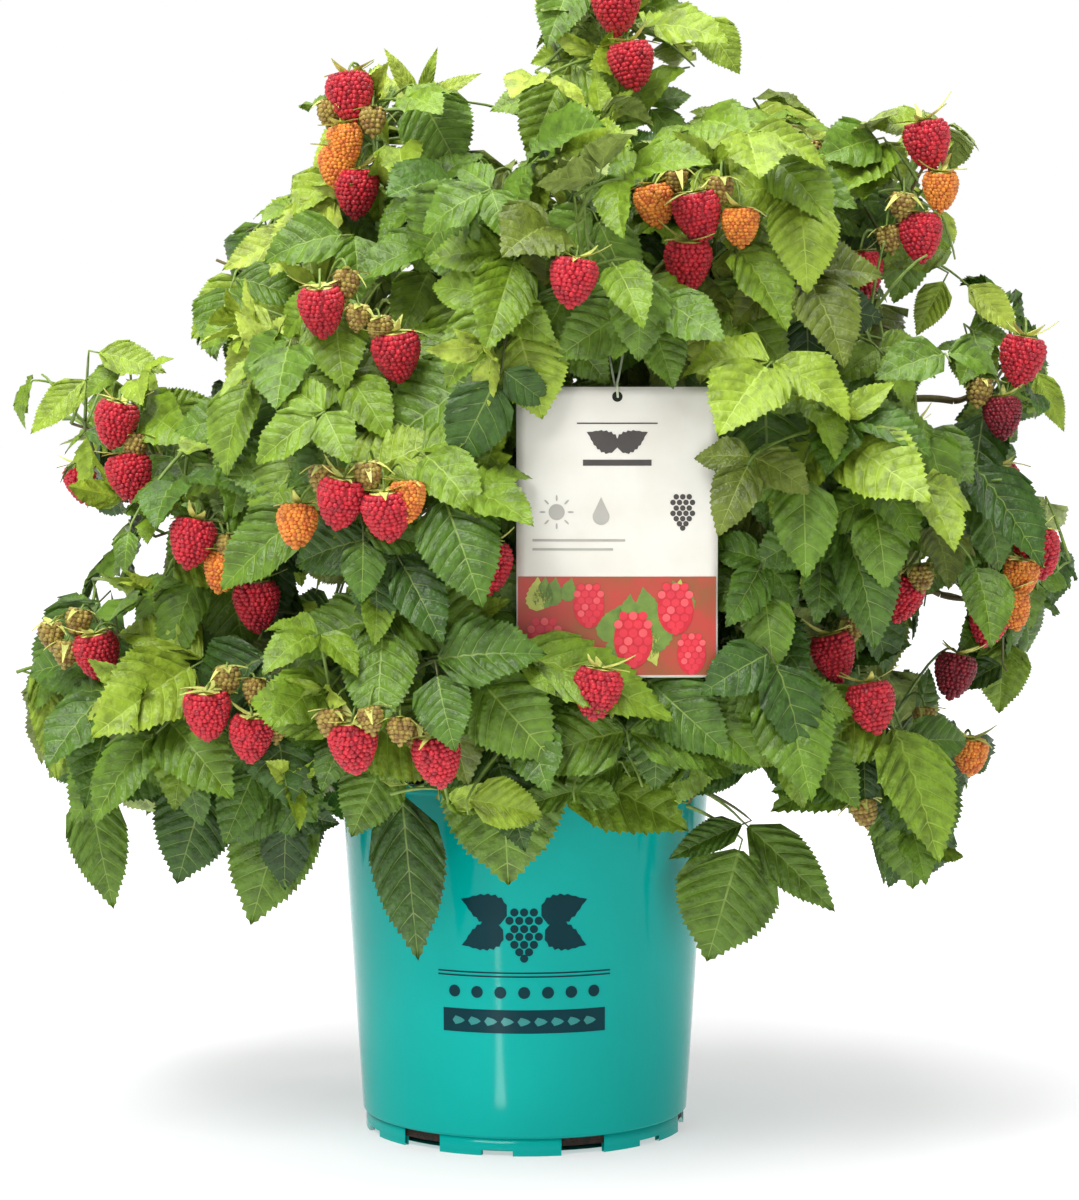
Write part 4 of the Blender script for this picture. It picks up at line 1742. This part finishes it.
def build_tag_print(place):
    """Plain signs on the card's upper part, and a band of berries and leaves below them."""
    heap = Heap()
    ink, pale, blush, red, rose, leaf, lime, rust, punched = range(9)
    add_print(heap, oval(0.0, -TAG_HOLE_DROP, TAG_HOLE_RADIUS, TAG_HOLE_RADIUS), place, punched)
    add_bar(heap, 0.0, -0.0180, 0.040, 0.0007, place, ink)
    for side in (-1, 1):
        add_print(heap, leaf_outline(0.0, -0.0300, 0.017, math.pi / 2 - side * 1.1), place, ink)
    add_bar(heap, 0.0, -0.0375, 0.034, 0.0030, place, ink)
    sun = (-0.030, -0.062)
    add_print(heap, oval(*sun, 0.0040, 0.0040), place, pale)
    for k, (cosine, sine) in enumerate(turns(8)):
        ray = oval(sun[0] + 0.0070 * cosine, sun[1] + 0.0070 * sine, 0.0016, 0.0005, WHOLE * k / 8, 8)
        add_print(heap, ray, place, pale)
    drop = [(0.0, 0.0075)]
    for turn in np.linspace(2.2, -2.2, 14):
        drop.append((0.0042 * math.sin(turn), -0.0022 - 0.0042 * math.cos(turn)))
    add_print(heap, [(x - 0.008, y - 0.062) for x, y in drop], place, pale)
    add_berry(heap, 0.0325, -0.0600, 0.0062, place, (ink,))
    for x, y, wide in ((-0.019, -0.0760, 0.046), (-0.022, -0.0805, 0.040)):
        add_bar(heap, x, y, wide, 0.0012, place, pale)
    band_top, band_low = 0.094, TAG_HEIGHT - 0.0012
    add_bar(heap, 0.0, -0.5 * (band_top + band_low), TAG_WIDTH - 0.0016, band_low - band_top, place, rust)
    chance = random.Random(9)
    for k in range(15):
        x = -0.040 + 0.080 * ((k * 0.618) % 1.0)
        y = -band_top - 0.012 - 0.026 * ((k * 0.381 + 0.2) % 1.0)
        lean = math.pi / 2 + chance.uniform(-0.5, 0.5) + (math.pi if y < -0.115 and k % 3 else 0.0)
        long = min(0.022, 0.95 * (0.05 - abs(x)) / abs(math.cos(lean) or 1.0), abs(-band_top - y), 0.020)
        shape = leaf_outline(x, y, max(0.009, long), lean)
        add_print(heap, shape, place, chance.choice((leaf, lime, leaf)), 2)
    berries = (
        (0.029, -0.107, 0.0088), (0.008, -0.122, 0.0095), (0.037, -0.130, 0.0070), (-0.014, -0.106, 0.0075),
        (-0.036, -0.124, 0.0085),
    )
    for x, y, size in berries:
        body = oval(x, y - 0.35 * size, 1.02 * size, 1.45 * size)
        add_print(heap, body, place, red, 3)
        add_berry(heap, x, y, size, place, (rose, blush, rose), 4)
    finishes = printed(
        ("tag_ink", (66, 62, 58), (56, 52, 50), 90.0, 0.5),
        ("tag_grey", (168, 166, 158), (156, 154, 146), 90.0, 0.5),
        ("tag_blush", (226, 92, 96), (208, 66, 74), 90.0, 0.4),
        ("tag_red", (204, 32, 48), (178, 22, 40), 200.0, 0.3),
        ("tag_rose", (214, 48, 62), (196, 40, 58), 200.0, 0.3),
        ("tag_leaf", (112, 140, 52), (84, 112, 44), 200.0, 0.4),
        ("tag_lime", (180, 186, 84), (150, 160, 66), 200.0, 0.4),
        ("tag_rust", (140, 78, 40), (176, 60, 48), 60.0, 0.35, 0.35, 0.65),
        ("tag_hole", (24, 26, 20), (16, 18, 14), 90.0, 0.9))
    heap.piece("tag_print", "tag", finishes)


# Floor, light and camera

FLOOR_REACH = 12.0
FLOOR_GLOW = (0.12, 1.0, 0.46, 0.80)  # the floor's own light: from and to which distance, least and most
WORLD_ABOVE = 0.50  # how bright the sky is overhead, where 1 is white
WORLD_RAMP = (0.22, 0.42)  # it turns from white to that between these, by the z of its direction


def stand(name, kind, place, target):
    """Adds a light or the camera at a place and aims it."""
    made = bpy.data.objects.new(name, kind)
    made.location = place
    made.rotation_euler = (Vector(target) - Vector(place)).to_track_quat("-Z", "Y").to_euler()
    bpy.context.scene.collection.objects.link(made)
    return made


def area_light(name, place, target, size, power, size_y=None):
    lamp = bpy.data.lights.new(name, "AREA")
    lamp.shape = "RECTANGLE"
    lamp.size = size
    lamp.size_y = size_y or size
    lamp.energy = power
    return stand(name, lamp, place, target)


def new_nodes(nodes, *kinds):
    return [nodes.new(f"ShaderNode{kind}") for kind in kinds]


def build_stage():
    """The floor, the sky, two soft lights, and a low strip that gives the pot its upright gleam."""
    mesh = bpy.data.meshes.new("floor")
    corners = ((-1, -1), (1, -1), (1, 1), (-1, 1))
    mesh.from_pydata([(x * FLOOR_REACH, y * FLOOR_REACH, 0.0) for x, y in corners], [], [(0, 1, 2, 3)])
    floor = bpy.data.objects.new("floor", mesh)
    bpy.context.scene.collection.objects.link(floor)
    finish = material(
        "floor", (0.52, 0.52, 0.52), 0.75, ((0.51, 0.51, 0.515), 3.0, 0.3, 0.8),
        Emission_Color=(1.0, 1.0, 1.0, 1.0))
    nodes, links = finish.node_tree.nodes, finish.node_tree.links
    coordinates, away, glow = new_nodes(nodes, "TexCoord", "VectorMath", "MapRange")
    away.operation = "LENGTH"
    for socket, value in zip(("From Min", "From Max", "To Min", "To Max"), FLOOR_GLOW):
        glow.inputs[socket].default_value = value
    links.new(coordinates.outputs["Object"], away.inputs[0])
    links.new(away.outputs["Value"], glow.inputs["Value"])
    links.new(glow.outputs["Result"], nodes["Principled BSDF"].inputs["Emission Strength"])
    mesh.materials.append(finish)
    world = bpy.data.worlds.new("studio")
    world.use_nodes = True
    nodes, links = world.node_tree.nodes, world.node_tree.links
    coordinates, parts, ramp = new_nodes(nodes, "TexCoord", "SeparateXYZ", "ValToRGB")
    links.new(coordinates.outputs["Generated"], parts.inputs["Vector"])
    links.new(parts.outputs["Z"], ramp.inputs["Fac"])
    for element, position, level in zip(ramp.color_ramp.elements, WORLD_RAMP, (1.0, WORLD_ABOVE)):
        element.position = position
        element.color = (level, level, level, 1.0)
    links.new(ramp.outputs["Color"], nodes["Background"].inputs["Color"])
    nodes["Background"].inputs["Strength"].default_value = 1.0
    bpy.context.scene.world = world
    area_light("key", (-0.7, -1.3, 2.0), (0.0, 0.0, 0.35), 1.0, 46.0)
    area_light("top", (0.1, 0.0, 2.3), (0.0, 0.0, 0.3), 1.5, 36.0)
    strip = area_light("low_strip", (-0.085, -0.32, 0.002), (-0.085, -0.32, 1.0), 0.016, 0.22, 0.34)
    strip.rotation_euler = (math.pi, 0.0, math.radians(-17.8))
    strip.visible_camera = False
    bpy.context.scene.view_settings.view_transform = "Standard"


def build_camera():
    lens = bpy.data.cameras.new("camera")
    lens.lens = 110.7
    lens.sensor_width = 36.0
    lens.sensor_fit = "AUTO"
    bpy.context.scene.camera = stand("camera", lens, VIEWER, (VIEWER.x, 0.0, 0.287))


build_camera()
build_crown()
build_canes()
build_compost()
build_pot()
build_pot_print()
build_tag()
build_stage()
